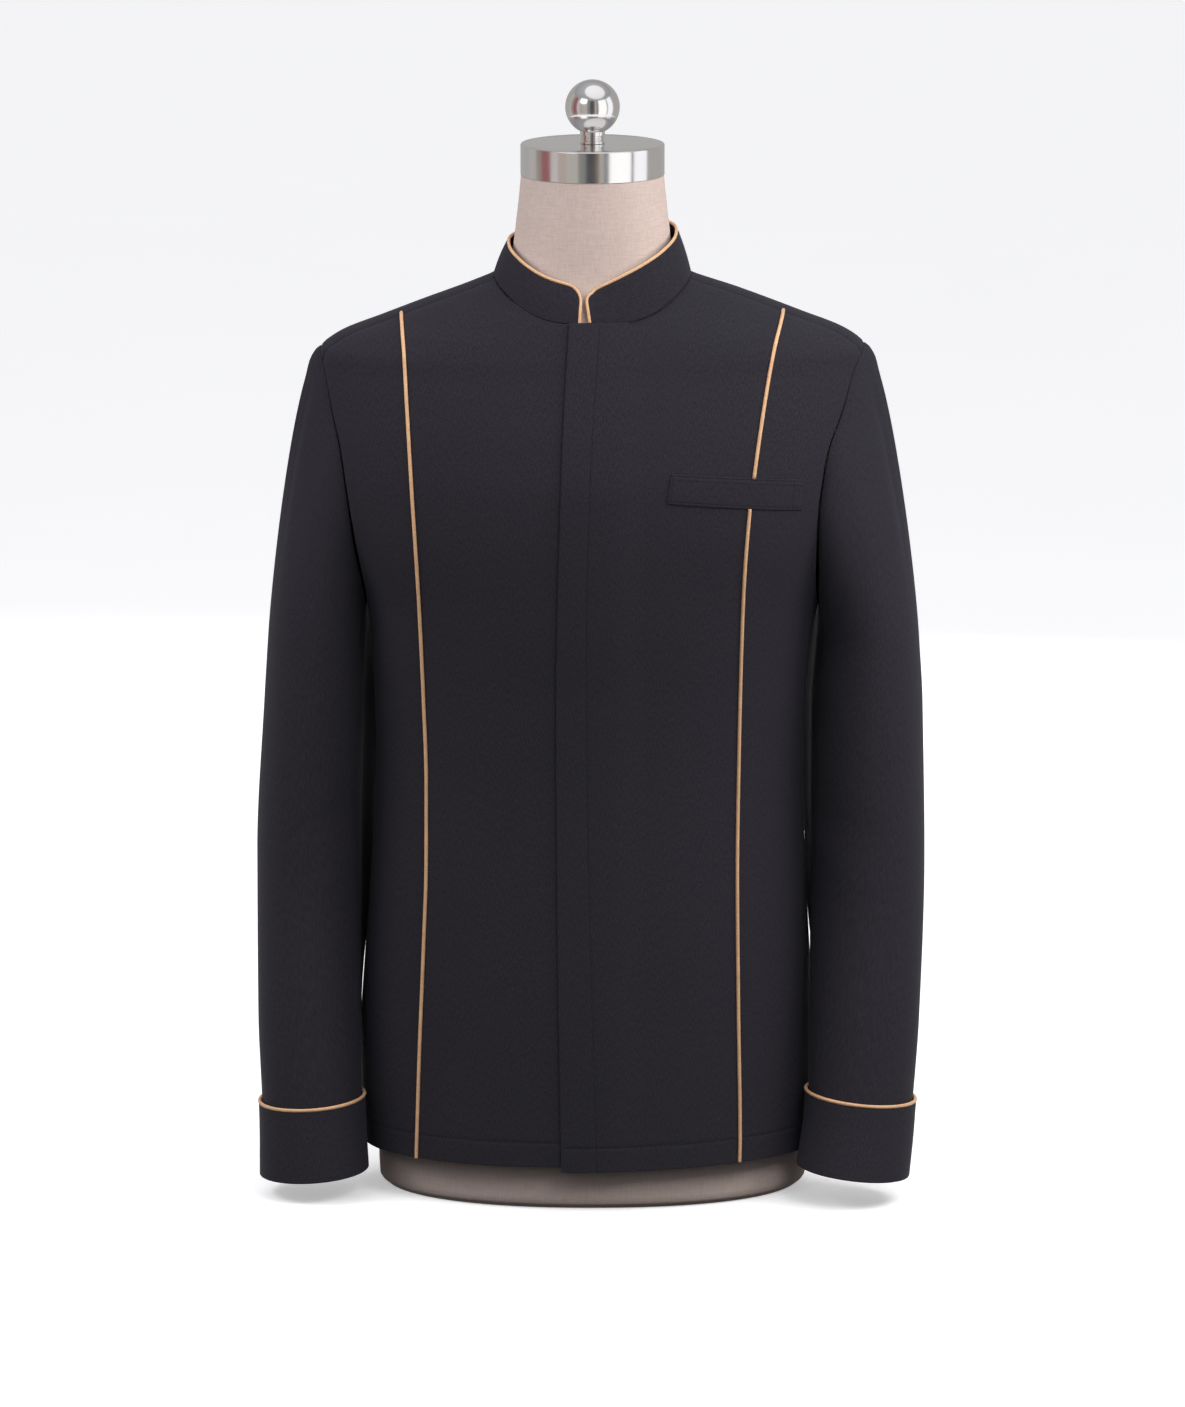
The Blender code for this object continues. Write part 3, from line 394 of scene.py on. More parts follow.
# Line down the back that divides its grid: x, y and height, laid onto the surface
BACK_GUIDE = ((142, 95, 33), (138, 78, 350), (148, 82, 486), (154, 82, 620), (156, 68, 700),
              (156.5, 35, 733))

# Princess seams, measured outwards from the centre line
PRINCESS = {
    "left": Table(("height", "x"), (
        (33, 120.5), (55, 121), (171, 119.3), (279, 118.3), (379, 119.5), (506, 122.5),
        (582, 127.8), (606, 131), (667, 140.6), (706, 148.4), (731, 156.5), (745, 160))),
    "right": Table(("height", "x"), (
        (33, 145), (126, 142), (210, 138.5), (285, 136), (351, 135.8), (418, 137.8),
        (503, 141.3), (604, 147.3), (667, 151.2), (705, 153.6), (731, 156.5), (745, 158))),
}

# Height of the collar's upper edge, by the turn from the centre front in degrees
COLLAR_TOP = Table(("turn", "height"), (
    (0, 755), (14, 763), (28, 771.5), (43, 780.5), (58, 788), (73, 792.5), (90, 795.5), (135, 800),
    (180, 806)))

# Armhole's depth against an oval's, by its height from 1 at the top to -1 at the armpit
ARMHOLE_SHAPE = Table(("rise", "share"), (
    (-1, 1.0), (-0.45, 1.04), (-0.2, 1.02), (0, 0.985), (0.27, 0.93), (0.62, 0.764), (1, 0.72)))

# Sleeves below the armpit: level rings whose outer side drops by the tilt, and whose inner
# back swings in behind the body by the tuck
SLEEVE_COLUMNS = ("height", "centre_x", "half_width", "centre_y", "half_depth", "tilt")
SLEEVE = {
    "left": Table(SLEEVE_COLUMNS, (
        (20, 213.9, 43.9, -89, 44, 0.12),
        (66, 220.2, 42.8, -73, 44.5, 0.11),
        (149, 224.6, 45.5, -49, 49, 0.07),
        (277, 227.8, 47.2, -12, 61, 0.02),
        (403, 227, 46, 0, 68, 0),
        (455, 227.5, 42.5, 4, 70, 0))),
    "right": Table(SLEEVE_COLUMNS, (
        (15, 230.2, 42.4, -62, 47.5, 0.07),
        (66, 231.9, 41.1, -52, 48.5, 0.07),
        (149, 234.3, 42.7, -30, 55, 0.04),
        (277, 235, 43, -2, 62, 0.01),
        (403, 230.3, 41.2, 2, 68, 0),
        (455, 227.8, 40.4, 4, 70, 0))),
}

# How far the sleeves' inner backs swing in behind the body, by height, and the share of it by
# the turn round the sleeve, from 90 at the front to 180 at the inside and 270 at the back
SLEEVE_TUCKS = {
    "left": Table(("height", "tuck"), (
        (165, 0), (190, 5), (210, 12.7), (230, 14.6), (250, 16), (270, 17.2), (290, 18.3),
        (310, 19.3), (330, 19.6), (360, 19.5), (390, 18.6), (410, 17.6), (430, 16.8),
        (455, 15.5))),
    "right": Table(("height", "tuck"), (
        (66, 0), (120, 1.5), (149, 4.8), (180, 8.8), (210, 13.2), (240, 17), (277, 20.5),
        (403, 22), (455, 15))),
}
SLEEVE_TUCK_SHARE = {
    "left": Table(("turn", "share"), (
        (-90, 0), (180, 0), (196, 0.12), (206, 0.34), (214, 0.62), (222, 0.93), (230, 1),
        (270, 0))),
    "right": Table(("turn", "share"), ((-90, 0), (180, 0), (222, 1), (270, 0))),
}
CUFF_BOTTOM = {"left": 26 * MM, "right": 19 * MM}

# How the sleeve leaves the armhole: lean out of the body's surface, in degrees, and how far
# it keeps that lean, as a share of the way to the end of the sleeve head
SLEEVE_HEAD = Table(("turn", "lean", "reach"), (
    (0, 2, 0.32),
    (45, 14, 0.4),
    (90, 50, 0.55),
    (135, 115, 0.8),
    (180, 164, 1.0),
))


def body_level(points):
    """Below zero inside the jacket's outer surface, zero on it."""
    x = points[..., 0]
    y = points[..., 1]
    z = points[..., 2]
    depth = np.where(y < 0, BODY.at("front", z), BODY.at("back", z))
    power = BODY.at("power", z)
    ratio = (np.abs(x) / BODY.at("half_width", z))**power + (np.abs(y) / depth)**power
    return ratio**(1 / power) - 1


def body_gradient(points):
    return np.stack([(body_level(points + shift) - body_level(points - shift)) / (2 * GRADIENT_STEP)
                     for shift in GRADIENT_STEP * np.eye(3)], -1)


def unit(vectors):
    return vectors / np.linalg.norm(vectors, axis=-1, keepdims=True)


def body_normal(points):
    return unit(body_gradient(points))


def settle(points, fixed_axis=None):
    """Moves points straight onto the jacket's outer surface."""
    points = np.array(points, float)
    for _ in range(SETTLE_STEPS):
        gradient = body_gradient(points)
        if fixed_axis is not None:
            gradient[..., fixed_axis] = 0
        size = (gradient**2).sum(-1)
        points -= (body_level(points) / size)[..., None] * gradient
    return points


def rest_of_oval(size, other, other_size, power):
    """The second coordinate of an oval, from the first."""
    return size * np.clip(1 - (np.abs(other) / other_size)**power, 0, 1)**(1 / power)


def surface_y(height, x, back=False):
    """The y of the body's front or back at a height and a distance from the centre line."""
    depth = rest_of_oval(BODY.at("back" if back else "front", height), x,
                         BODY.at("half_width", height), BODY.at("power", height))
    return depth if back else -depth


def side_of_level(height, y):
    """The x of the body's left side at a height and a depth."""
    depth = np.where(y > 0, BODY.at("back", height), BODY.at("front", height))
    return rest_of_oval(BODY.at("half_width", height), y, depth, BODY.at("power", height))


def even(steps):
    return np.linspace(0, 1, steps + 1)


def around(count):
    """Even turns round a circle, in radians."""
    return 2 * math.pi * np.arange(count) / count


def lengths(grid, axis):
    """Distance of each point of a line or grid along its row or column, from the first."""
    steps = np.linalg.norm(np.diff(grid, axis=axis), axis=-1)
    start = np.zeros_like(steps.take([0], axis))
    return np.concatenate([start, np.cumsum(steps, axis)], axis)


def from_ends(grid, axis):
    """Distance of each point of a line or grid along it, from the nearer end."""
    along = lengths(grid, axis)
    return np.minimum(along, along.take([-1], axis) - along)


def fractions_of(line):
    along = lengths(line, 0)
    return along / along[-1]


def resample(line, fractions, values=None):
    """Points of a dense line, or values known at them, at fractions of its length."""
    values = line if values is None else values
    return np.stack([np.interp(fractions, fractions_of(line), part) for part in values.T], 1)


def solve(function, low, high):
    """Where a rising function passes zero, between two numbers or all along two arrays."""
    for _ in range(SOLVE_STEPS):
        middle = (low + high) / 2
        above = function(middle) > 0
        low = np.where(above, low, middle)
        high = np.where(above, middle, high)
    return (low + high) / 2


# Seam lines on the jacket's outer surface, all on the +X side

def neck_oval(turn, half_width, front, back):
    """An oval round the neck: turn 0 is the centre front and 180 the centre back, in degrees."""
    sine = np.sin(np.radians(turn))
    cosine = np.cos(np.radians(turn))
    depth = np.where(cosine > 0, front, back)
    power = np.where(cosine > 0, NECK_ROUNDNESS["front"], NECK_ROUNDNESS["back"])
    radius = ((np.abs(sine) / half_width)**power + (np.abs(cosine) / depth)**power)**(-1 / power)
    return radius * sine, -radius * cosine


def neckline(turn):
    """The neck seam on the jacket's surface."""
    x, y = neck_oval(turn, NECK_HALF_WIDTH, NECK_FRONT, NECK_BACK)

    def level(height):
        return body_level(np.stack(np.broadcast_arrays(x, y, height), -1))

    return np.stack([x, y, solve(level, *NECK_HEIGHTS)], -1)


def armhole(turn, side):
    """Turn 0 is the top, 90 the front, -90 the back and 180 the armpit, in degrees."""
    sine = np.sin(np.radians(turn))
    cosine = np.cos(np.radians(turn))
    height = ARMHOLE_CENTRE + ARMHOLE_HALF_HEIGHT * cosine
    depth = np.where(sine > 0, -ARMHOLE_FRONT[side], ARMHOLE_BACK)
    y = depth * np.abs(sine) * ARMHOLE_SHAPE.at("share", cosine)
    return np.stack([side_of_level(height, y), y, height], -1)


# Turns of the panels' corners on the neckline and on each armhole
NECK_END_TURN = solve(lambda turn: neckline(turn)[1] - SHOULDER_SEAM_Y, 60, 90)
TIP_TURN = {side: solve(lambda turn: SHOULDER_SEAM_Y - armhole(turn, side)[1], 5, 60)
            for side in ("left", "right")}
BACK_SEAM_TURN = {side: -180 + BACK_SEAM_SHARE * (180 + turn) for side, turn in TIP_TURN.items()}


def shoulder_seam(side, share_from, share_to, shares):
    """Stretch of the shoulder seam, as shares of its length from the neck."""
    start = neckline(NECK_END_TURN)
    end = armhole(TIP_TURN[side], side)
    line = settle(start + (end - start) * even(120)[:, None], fixed_axis=1)
    return resample(line, share_from + (share_to - share_from) * shares)


# Share of the shoulder seam's length at which the princess seams meet it
SHOULDER_SPLIT = {side: float(np.interp(SHOULDER_SPLIT_X,
                                        shoulder_seam(side, 0, 1, even(200))[:, 0], even(200)))
                  for side in ("left", "right")}


def spaced(length, step, lines=(), first=True, last=True):
    """Places along a length, close together at its rolled ends and beside lines of stitches."""
    close = [*EDGE_ROWS] if first else []
    close += [*(length - EDGE_ROWS)] if last else []
    for line in lines:
        close += [*(line + STITCH_ROWS)]
    plain = np.linspace(0, length, max(2, round(length / step)) + 1)
    kept = [place for place in plain if place in (0, length)
            or not close or min(abs(place - other) for other in close) > step / 2]
    return np.array(sorted(set(kept + close)))


LOWER_LENGTH = ARMPIT - HEM_HEIGHT
LOWER_SHARES = spaced(LOWER_LENGTH, ROW_STEP, (HEM_STITCH,), last=False) / LOWER_LENGTH
UPPER_SHARES = spaced(UPPER_LENGTH, ROW_STEP, first=False) / UPPER_LENGTH


def front_line(table, top):
    """A line down the front, from the hem up to a height, by its distance from the centre."""
    z = np.linspace(HEM_HEIGHT, top, LINE_STEPS)
    x = table.at("x", z)
    return np.stack([x, surface_y(z, x), z], 1)


def split_rows(line):
    """Rows up to the armpit, then rows to the top."""
    lower = line[line[:, 2] <= ARMPIT]
    upper = np.concatenate([lower[-1:], line[line[:, 2] > ARMPIT]])
    return np.concatenate([resample(lower, LOWER_SHARES), resample(upper, UPPER_SHARES)[1:]])


def side_line(side, towards):
    """The side seam and the armhole above it, round its front or its back."""
    z = HEM_HEIGHT + LOWER_LENGTH * LOWER_SHARES
    seam = np.stack([BODY.at("half_width", z), 0 * z, z], 1)
    turns = np.linspace(180 if towards == "front" else -180, TIP_TURN[side], LINE_STEPS)
    return np.concatenate([seam, resample(armhole(turns, side), UPPER_SHARES)[1:]])


def hem_line(x_from, x_to, fractions, back):
    """A stretch of the hem between two distances from the centre line."""
    width = BODY.at("half_width", HEM_HEIGHT)
    first, last = np.arcsin(np.minimum([x_from, x_to], width) / width)
    x = width * np.sin(first + (last - first) * even(299))
    line = np.stack(np.broadcast_arrays(x, surface_y(HEM_HEIGHT, x, back), HEM_HEIGHT), 1)
    return resample(line, fractions)


def patch(shares, top, left, right, back=False):
    """A panel between three seam lines and the hem, divided by shares, laid onto the body.

    Its rows run upwards."""
    bottom = hem_line(left[0, 0], right[0, 0], shares, back)
    u = fractions_of(bottom)[None, :, None]
    v = fractions_of(left)[:, None, None]
    grid = (bottom[None] * (1 - v) + top[None] * v
            + left[:, None] * (1 - u) + right[:, None] * u
            - bottom[0] * (1 - u) * (1 - v) - bottom[-1] * u * (1 - v)
            - top[0] * (1 - u) * v - top[-1] * u * v)
    grid[1:-1, 1:-1] = settle(grid[1:-1, 1:-1])
    return grid


def smooth_step(low, high, value):
    t = np.clip((value - low) / (high - low), 0, 1)
    return t * t * (3 - 2 * t)


def bell(distance, width):
    return np.exp(-(distance / width)**2)


def mirrored(points, side):
    """Points worked out at +X, for the wearer's left, or mirrored for the right."""
    return points * (1 if side == "left" else -1, 1, 1)


def raise_left_shoulder(points):
    """The wearer's left shoulder sits a little higher than the right."""
    raised = points.copy()
    raised[..., 2] += (LEFT_SHOULDER_RISE * smooth_step(*RAISED_ACROSS, points[..., 0])
                       * smooth_step(*RAISED_UPWARDS, points[..., 2]))
    return raised


# Pieces

def normals(grid, outwards, closed=False):
    """Normals of a grid, turned to the side of the given directions."""
    work = np.pad(grid, ((0, 0), (1, 1), (0, 0)), mode="wrap") if closed else grid
    normal = unit(np.cross(np.gradient(work, axis=1), np.gradient(work, axis=0)))
    if closed:
        normal = normal[:, 1:-1]
    return normal * np.sign((normal * outwards).sum())


def grid_faces(rows, columns, closed=False, loop=False):
    """Index of each point of a grid, and the corners of its squares.

    A closed grid joins its last column to its first, and a loop its last row to its first."""
    index = np.arange(rows * columns).reshape(rows, columns)
    index = np.pad(index, ((0, int(loop)), (0, int(closed))), mode="wrap")
    corners = (index[:-1, :-1], index[:-1, 1:], index[1:, 1:], index[1:, :-1])
    return index, np.stack(corners, -1).reshape(-1, 4)


def add_object(name, data):
    item = bpy.data.objects.new(name, data)
    bpy.context.scene.collection.objects.link(item)
    return item


def add_piece(name, points, faces, slot, node=None, flat=None, sharp=None):
    """A closed mesh that rides on the only body, in place of a solid.

    Its flat coordinates, where given, are those of the cloth. Without them its poles are
    joined into single points."""
    mesh = bpy.data.meshes.new(name)
    mesh.from_pydata(points.reshape(-1, 3).tolist(), [], faces)
    bm = bmesh.new()
    bm.from_mesh(mesh)
    if flat is None:
        bmesh.ops.remove_doubles(bm, verts=bm.verts, dist=1e-7)
    bmesh.ops.recalc_face_normals(bm, faces=bm.faces)
    bm.to_mesh(mesh)
    bm.free()
    mesh.shade_smooth()
    if sharp is not None:
        mesh.set_sharp_from_angle(angle=math.radians(sharp))
    if flat is not None:
        corners = np.zeros(len(mesh.loops), int)
        mesh.loops.foreach_get("vertex_index", corners)
        flat = flat.reshape(-1, 2)[corners]
        mesh.uv_layers.new(name="cloth").data.foreach_set("uv", flat.ravel())
    mesh.materials.append(MATERIALS[slot])
    item = add_object(name, mesh)
    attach(item, "root")
    if node is not None:
        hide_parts(node)
    return item


def cloth(node, grid, normal, thickness=WALL, closed=False, dip=0, radius=EDGE_RADIUS):
    """A thin shell with rolled edges on a grid of points, in place of its solid."""
    from_edge = from_ends(grid, 0)
    if not closed:
        from_edge = np.minimum(from_edge, from_ends(grid, 1))
    roll = radius - np.sqrt(radius**2 - np.clip(radius - from_edge, 0, radius)**2)
    outer, inner = (raise_left_shoulder(grid - depth[..., None] * normal)
                    for depth in (roll + dip, thickness - roll))
    index, sheet = grid_faces(*grid.shape[:2], closed)
    shift = roll.size
    edges = [index[0], index[-1]] + ([] if closed else [index[:, 0], index[:, -1]])
    rims = [np.stack([edge[:-1], edge[1:], edge[1:] + shift, edge[:-1] + shift], -1)
            for edge in edges]
    faces = np.concatenate([sheet, sheet[:, ::-1] + shift, *rims])
    flat = np.stack([lengths(grid, 1), lengths(grid, 0)], -1)
    item = add_piece(f"{node}_cloth", np.stack([outer, inner]), faces.tolist(), "suit_cloth",
                     node, np.stack([flat, flat]))
    OUTER[node] = outer


def crease_relief(points, owner, place):
    """How far soft troughs and ridges move points outwards, by where the ends are placed."""
    relief = np.zeros(points.shape[:-1])
    for name, *ends, width, depth in CREASES:
        if name != owner:
            continue
        start, end = place(*ends[:2]), place(*ends[2:])
        along = end - start
        share = ((points - start) @ along) / (along @ along)
        nearest = start + np.clip(share, 0, 1)[..., None] * along
        away = np.linalg.norm(points - nearest, axis=-1)
        fade = smooth_step(-0.15, 0.35, share) * (1 - smooth_step(0.6, 1.15, share))
        relief += depth * MM * bell(away, width * MM) * fade
    return relief


def hang_right(points):
    """Moves the body's right side outwards, where it hangs wider."""
    hung = points.copy()
    share = smooth_step(*HUNG_ACROSS, -points[..., 0])
    hung[..., 0] -= RIGHT_SIDE.at("extra", points[..., 2]) * share
    return hung


def seam_sink(grid, node):
    """How far a panel dips towards its shoulder seams and the armholes at its sides."""
    upwards = lengths(grid, 0)
    across = lengths(grid, 1)
    sewn = smooth_step(*SEWN_ACROSS, np.abs(grid[-1:, :, 0]))
    beside = smooth_step(ARMPIT - 5 * MM, ARMPIT + 15 * MM, grid[..., 2])
    dips = [sewn * bell(upwards[-1:] - upwards, SEAM_SINK_WIDTH)]
    if node == "back":
        dips.append(beside * bell(across, SEAM_SINK_WIDTH))
    if not node.endswith("centre"):
        dips.append(beside * bell(across[:, -1:] - across, SEAM_SINK_WIDTH))
    return SEAM_SINK * np.max(dips, axis=0)


def panel(node, grid, side, dip, raised=0):
    """One panel of the body, with its creases and sunk seams."""
    def place(x, z):
        return np.array([x * MM, surface_y(z * MM, x * MM, node == "back"), z * MM])

    surface = body_normal(grid)
    relief = crease_relief(grid, node, place) - seam_sink(grid, node) + raised
    grid = hang_right(mirrored(grid + relief[..., None] * surface, side))
    cloth(node, grid, normals(grid, mirrored(surface, side)), dip=dip)


def princess_line(side):
    """Princess seam from the hem to the shoulder seam."""
    table = PRINCESS[side]
    top = solve(lambda height: surface_y(height, table.at("x", height)) - SHOULDER_SEAM_Y,
                *SHOULDER_HEIGHTS)
    return split_rows(front_line(table, top))


def build_front(side):
    """Both panels of a front, and the piping in the seam between them."""
    left = side == "left"
    princess = princess_line(side)
    edge_turn = -math.degrees(math.atan(TOP_OVERLAP[side] / NECK_FRONT))
    neck = neckline(np.linspace(edge_turn, NECK_END_TURN, LINE_STEPS))
    neck_length = lengths(neck, 0)[-1]
    places = spaced(neck_length, COLUMN_STEP, (FLY_STITCH_TOP,) if left else (), last=False)
    shares = spaced(SEAM_LENGTH, COLUMN_STEP, first=False) / SEAM_LENGTH
    seam = shoulder_seam(side, 0, SHOULDER_SPLIT[side], shares)
    princess[-1] = seam[-1]
    top = np.concatenate([resample(neck, places / neck_length), seam[1:]])
    edge = split_rows(front_line(FRONT_EDGE[side], neck[0, 2]))
    edge[-1] = neck[0]
    fly_top = FLY_STITCH_TOP / lengths(top, 0)[-1]
    fly_hem = FLY_STITCH_HEM / (princess[0, 0] - edge[0, 0])
    shares = np.interp(fractions_of(top), (0, fly_top, 1.3 * fly_top, 1),
                       (0, fly_hem, 1.25 * fly_hem, 1))
    grid = patch(shares, top, edge, princess)
    raised = 0
    dip = hem_groove(grid)
    if left:
        raised = LAP_RAISE * (1 - smooth_step(LAP_FULL, LAP_END, grid[..., 0]))
        column = int(np.argmin(np.abs(places - FLY_STITCH_TOP)))
        across = lengths(grid, 1)
        dip = dip + groove(across - across[:, column:column + 1])
        FLY_COLUMN.append(column)
    drop = CORNER_DROP[side] * (1 - smooth_step(0, CORNER_WIDTH, grid[..., 0] - edge[0, 0]))
    grid[..., 2] -= drop * (1 - smooth_step(HEM_HEIGHT, CORNER_TOP, grid[..., 2]))
    panel(f"front_{side}_centre", grid, side, dip, raised)
    shares = spaced(SIDE_SEAM_LENGTH, COLUMN_STEP) / SIDE_SEAM_LENGTH
    top = shoulder_seam(side, SHOULDER_SPLIT[side], 1, shares)
    grid = patch(shares, top, princess, side_line(side, "front"))
    panel(f"front_{side}_side", grid, side, hem_groove(grid))
    build_front_piping(princess, side)


def groove(distance):
    """Depth that a line of stitches pulls the cloth in."""
    return STITCH_DEPTH * bell(distance, STITCH_WIDTH)


def hem_groove(grid):
    return groove(grid[..., 2] - HEM_HEIGHT - HEM_STITCH)


def back_half(side):
    """Half of the back, from the centre line to the side seam."""
    z = np.linspace(HEM_HEIGHT, neckline(180)[2], LINE_STEPS)
    centre = split_rows(np.stack([0 * z, BODY.at("back", z), z], 1))
    shares = spaced(SEAM_LENGTH, COLUMN_STEP, first=False, last=False) / SEAM_LENGTH
    seam = shoulder_seam(side, 0, SHOULDER_SPLIT[side], shares)
    guide = np.concatenate([np.array(BACK_GUIDE) * MM, seam[-1:]])
    guide = settle(resample(guide, even(LINE_STEPS))[:-1], fixed_axis=0)
    middle = split_rows(np.concatenate([guide, seam[-1:]]))
    x = middle[0, 0]
    middle[0] = x, surface_y(HEM_HEIGHT, x, back=True), HEM_HEIGHT
    neck = neckline(np.linspace(180, NECK_END_TURN, LINE_STEPS))
    top = np.concatenate([resample(neck, even(NECK_BACK_STEPS)), seam[1:]])
    inner_grid = patch(fractions_of(top), top, centre, middle, back=True)
    shares = spaced(SIDE_SEAM_LENGTH, COLUMN_STEP, first=False) / SIDE_SEAM_LENGTH
    top = shoulder_seam(side, SHOULDER_SPLIT[side], 1, shares)
    outer_grid = patch(shares, top, middle, side_line(side, "back"), back=True)
    return np.concatenate([inner_grid, outer_grid[:, 1:]], 1)


def build_back():
    right = mirrored(back_half("right"), "right")[:, :0:-1]
    grid = np.concatenate([right, back_half("left")], 1)
    panel("back", grid, "left", hem_groove(grid))


def sleeve_ring(side, turns, height):
    """A ring of the sleeve below its head, at turns matching the armhole's."""
    table = SLEEVE[side]
    angle = np.radians(turns)
    swing = table.at("half_width", height) * np.cos(angle)
    share = SLEEVE_TUCK_SHARE[side].at("share", (turns + 90) % 360 - 90)
    tuck = SLEEVE_TUCKS[side].at("tuck", height) * share
    x = table.at("centre_x", height) + swing - tuck
    y = table.at("centre_y", height) - table.at("half_depth", height) * np.sin(angle)
    z = height - table.at("tilt", height) * swing
    return np.stack(np.broadcast_arrays(x, y, z), -1)


def sleeve_point(side, turns, rows):
    """Points of the sleeve. Row 0 is the armhole and row 1 the end of the sleeve head.

    A row above 1 is 1 plus the drop below the head's end in metres."""
    start = armhole(turns, side)
    normal = body_normal(start)
    along = armhole(turns + ARMHOLE_TURN_STEP, side) - armhole(turns - ARMHOLE_TURN_STEP, side)
    edge = unit(np.cross(normal, unit(along)))
    lean = np.radians(SLEEVE_HEAD.at("lean", np.abs(turns)))[..., None]
    reach = SLEEVE_HEAD.at("reach", np.abs(turns))[..., None]
    end = sleeve_ring(side, turns, SLEEVE_HEAD_END)
    below = sleeve_ring(side, turns, SLEEVE_HEAD_END - 1 * MM)
    distance = np.linalg.norm(end - start, axis=-1, keepdims=True)
    head = curve(np.clip(rows, 0, 1)[..., None], start, end,
                 (np.cos(lean) * edge + np.sin(lean) * normal) * distance * reach,
                 unit(below - end) * distance * SLEEVE_HEAD_HANG)
    lower = sleeve_ring(side, turns, SLEEVE_HEAD_END - np.maximum(rows - 1, 0))
    return np.where((rows > 1)[..., None], lower, head)


def sleeve_outwards(side, turns, rows):
    """Directions out of the sleeve, from the middle of each ring."""
    opposite = sleeve_point(side, (turns + 360) % 360 - 180, rows)
    return unit(sleeve_point(side, turns, rows) - opposite)


def build_sleeve(side):
    """Top and under sleeve, between a front seam and a back seam that drifts at the elbow."""
    def place(turn, z):
        return sleeve_point(side, np.array(float(turn)), np.array(1 + SLEEVE_HEAD_END - z * MM))

    head_rows = spaced(HEAD_LENGTH, ROW_STEP, last=False) / HEAD_LENGTH
    drop = spaced(SLEEVE_HEAD_END - CUFF_BOTTOM[side] - CUFF_DROP, ROW_STEP, first=False)
    rows = np.concatenate([head_rows, 1 + drop[1:]])[:, None]
    drift = np.clip((rows - 1) / SLEEVE_DRIFT_LENGTH, 0, 1)
    back_seam = BACK_SEAM_TURN[side] + BACK_SEAM_DRIFT * drift
    front_seam = 180 - FRONT_SEAM_SHARE * (180 - TIP_TURN[side]) + 0 * rows
    spans = {"top": (back_seam, front_seam), "under": (front_seam, back_seam + 360)}
    for name, (first, last) in spans.items():
        length = float(last[0, 0] - first[0, 0]) * LENGTH_PER_TURN
        turns = (first + (last - first) * spaced(length, COLUMN_STEP) / length + 180) % 360 - 180
        grid = sleeve_point(side, turns, rows)
        outwards = sleeve_outwards(side, turns, rows)
        puff, middle, width = SLEEVE_HEAD_PUFF
        from_seam = lengths(grid, 0)
        upwards = np.maximum(np.cos(np.radians(turns)), 0)
        relief = (crease_relief(grid, f"sleeve_{side}", place)
                  - SEAM_SINK * bell(from_seam, SEAM_SINK_WIDTH)
                  + puff * bell(from_seam - middle, width) * upwards)
        grid = grid + relief[..., None] * normals(grid, outwards)
        normal = normals(grid, outwards)
        cloth(f"sleeve_{side}_{name}", mirrored(grid, side), mirrored(normal, side))


def build_cuff(side):
    """The turn-back cuff and the piping along its top edge."""
    rows = 1 + SLEEVE_HEAD_END - (CUFF_BOTTOM[side] + spaced(CUFF_HEIGHT, CUFF_STEP))[:, None]
    loop = spaced(360 * MM, COLUMN_STEP)[:-1] / MM
    turns = (BACK_SEAM_TURN[side] + BACK_SEAM_DRIFT + loop + 180)[None] % 360 - 180
    point = sleeve_point(side, turns, rows)
    normal = normals(point, sleeve_outwards(side, turns, rows), closed=True)
    normal = unit(normal * (1, 1, 0))
    outer = point + (CUFF_GAP + CUFF_WALL) * normal
    from_seam = np.minimum(loop, 360 - loop) * CUFF_LENGTH_PER_TURN
    cloth(f"cuff_{side}", mirrored(outer, side), mirrored(normal, side), CUFF_WALL, closed=True,
          dip=CUFF_SEAM_DEPTH * bell(from_seam, STITCH_WIDTH), radius=CUFF_EDGE_RADIUS)
    path = (outer[-1] + (CUFF_PIPING_OUT - CUFF_WALL / 2) * normal[-1]
            + (0, 0, PIPING_RADIUS - CUFF_PIPING_SINK))
    piping(f"piping_cuff_{side}", mirrored(path, side), closed=True)


def rings(centre, radius, across, up, sides):
    """Rings of points round centres, in the planes of two directions."""
    angle = around(sides)[:, None]
    circle = np.cos(angle) * across[..., None, :] + np.sin(angle) * up[..., None, :]
    return centre[..., None, :] + np.array(radius)[..., None, None] * circle


def piping(node, path, radius=PIPING_RADIUS, closed=False):
    """A satin-covered cord through the points of a path, in place of its solid."""
    path = raise_left_shoulder(path)
    along = np.roll(path, -1, 0) - np.roll(path, 1, 0) if closed else np.gradient(path, axis=0)
    across = unit(np.cross(unit(along), PIPING_UP))
    points = rings(path, radius, across, np.cross(across, unit(along)), PIPING_SIDES)
    index, faces = grid_faces(*points.shape[:2], True, loop=closed)
    faces = faces.tolist() + ([] if closed else index[[0, -1], :-1].tolist())
    flat = [lengths(path, 0)[:, None], around(PIPING_SIDES) * radius]
    flat = np.stack(np.broadcast_arrays(*flat), -1)
    add_piece(f"{node}_cord", points, faces, "piping_satin", node, flat)


def collar_top(turn):
    """The collar's upper edge, at a turn from the centre front."""
    x, y = neck_oval(turn, COLLAR_TOP_HALF_WIDTH, COLLAR_TOP_FRONT, COLLAR_TOP_BACK)
    from_front = 180 - np.abs(np.abs(turn) % 360 - 180)
    towards_right = -np.sin(np.radians(turn))
    front, back = (smooth_step(*COLLAR_DROP_FADE[half], towards_right)
                   for half in ("front", "back"))
    drop = COLLAR_RIGHT_DROP * np.where(from_front < 90, front, back)
    return np.stack([x, y, COLLAR_TOP.at("height", from_front) - drop], -1)


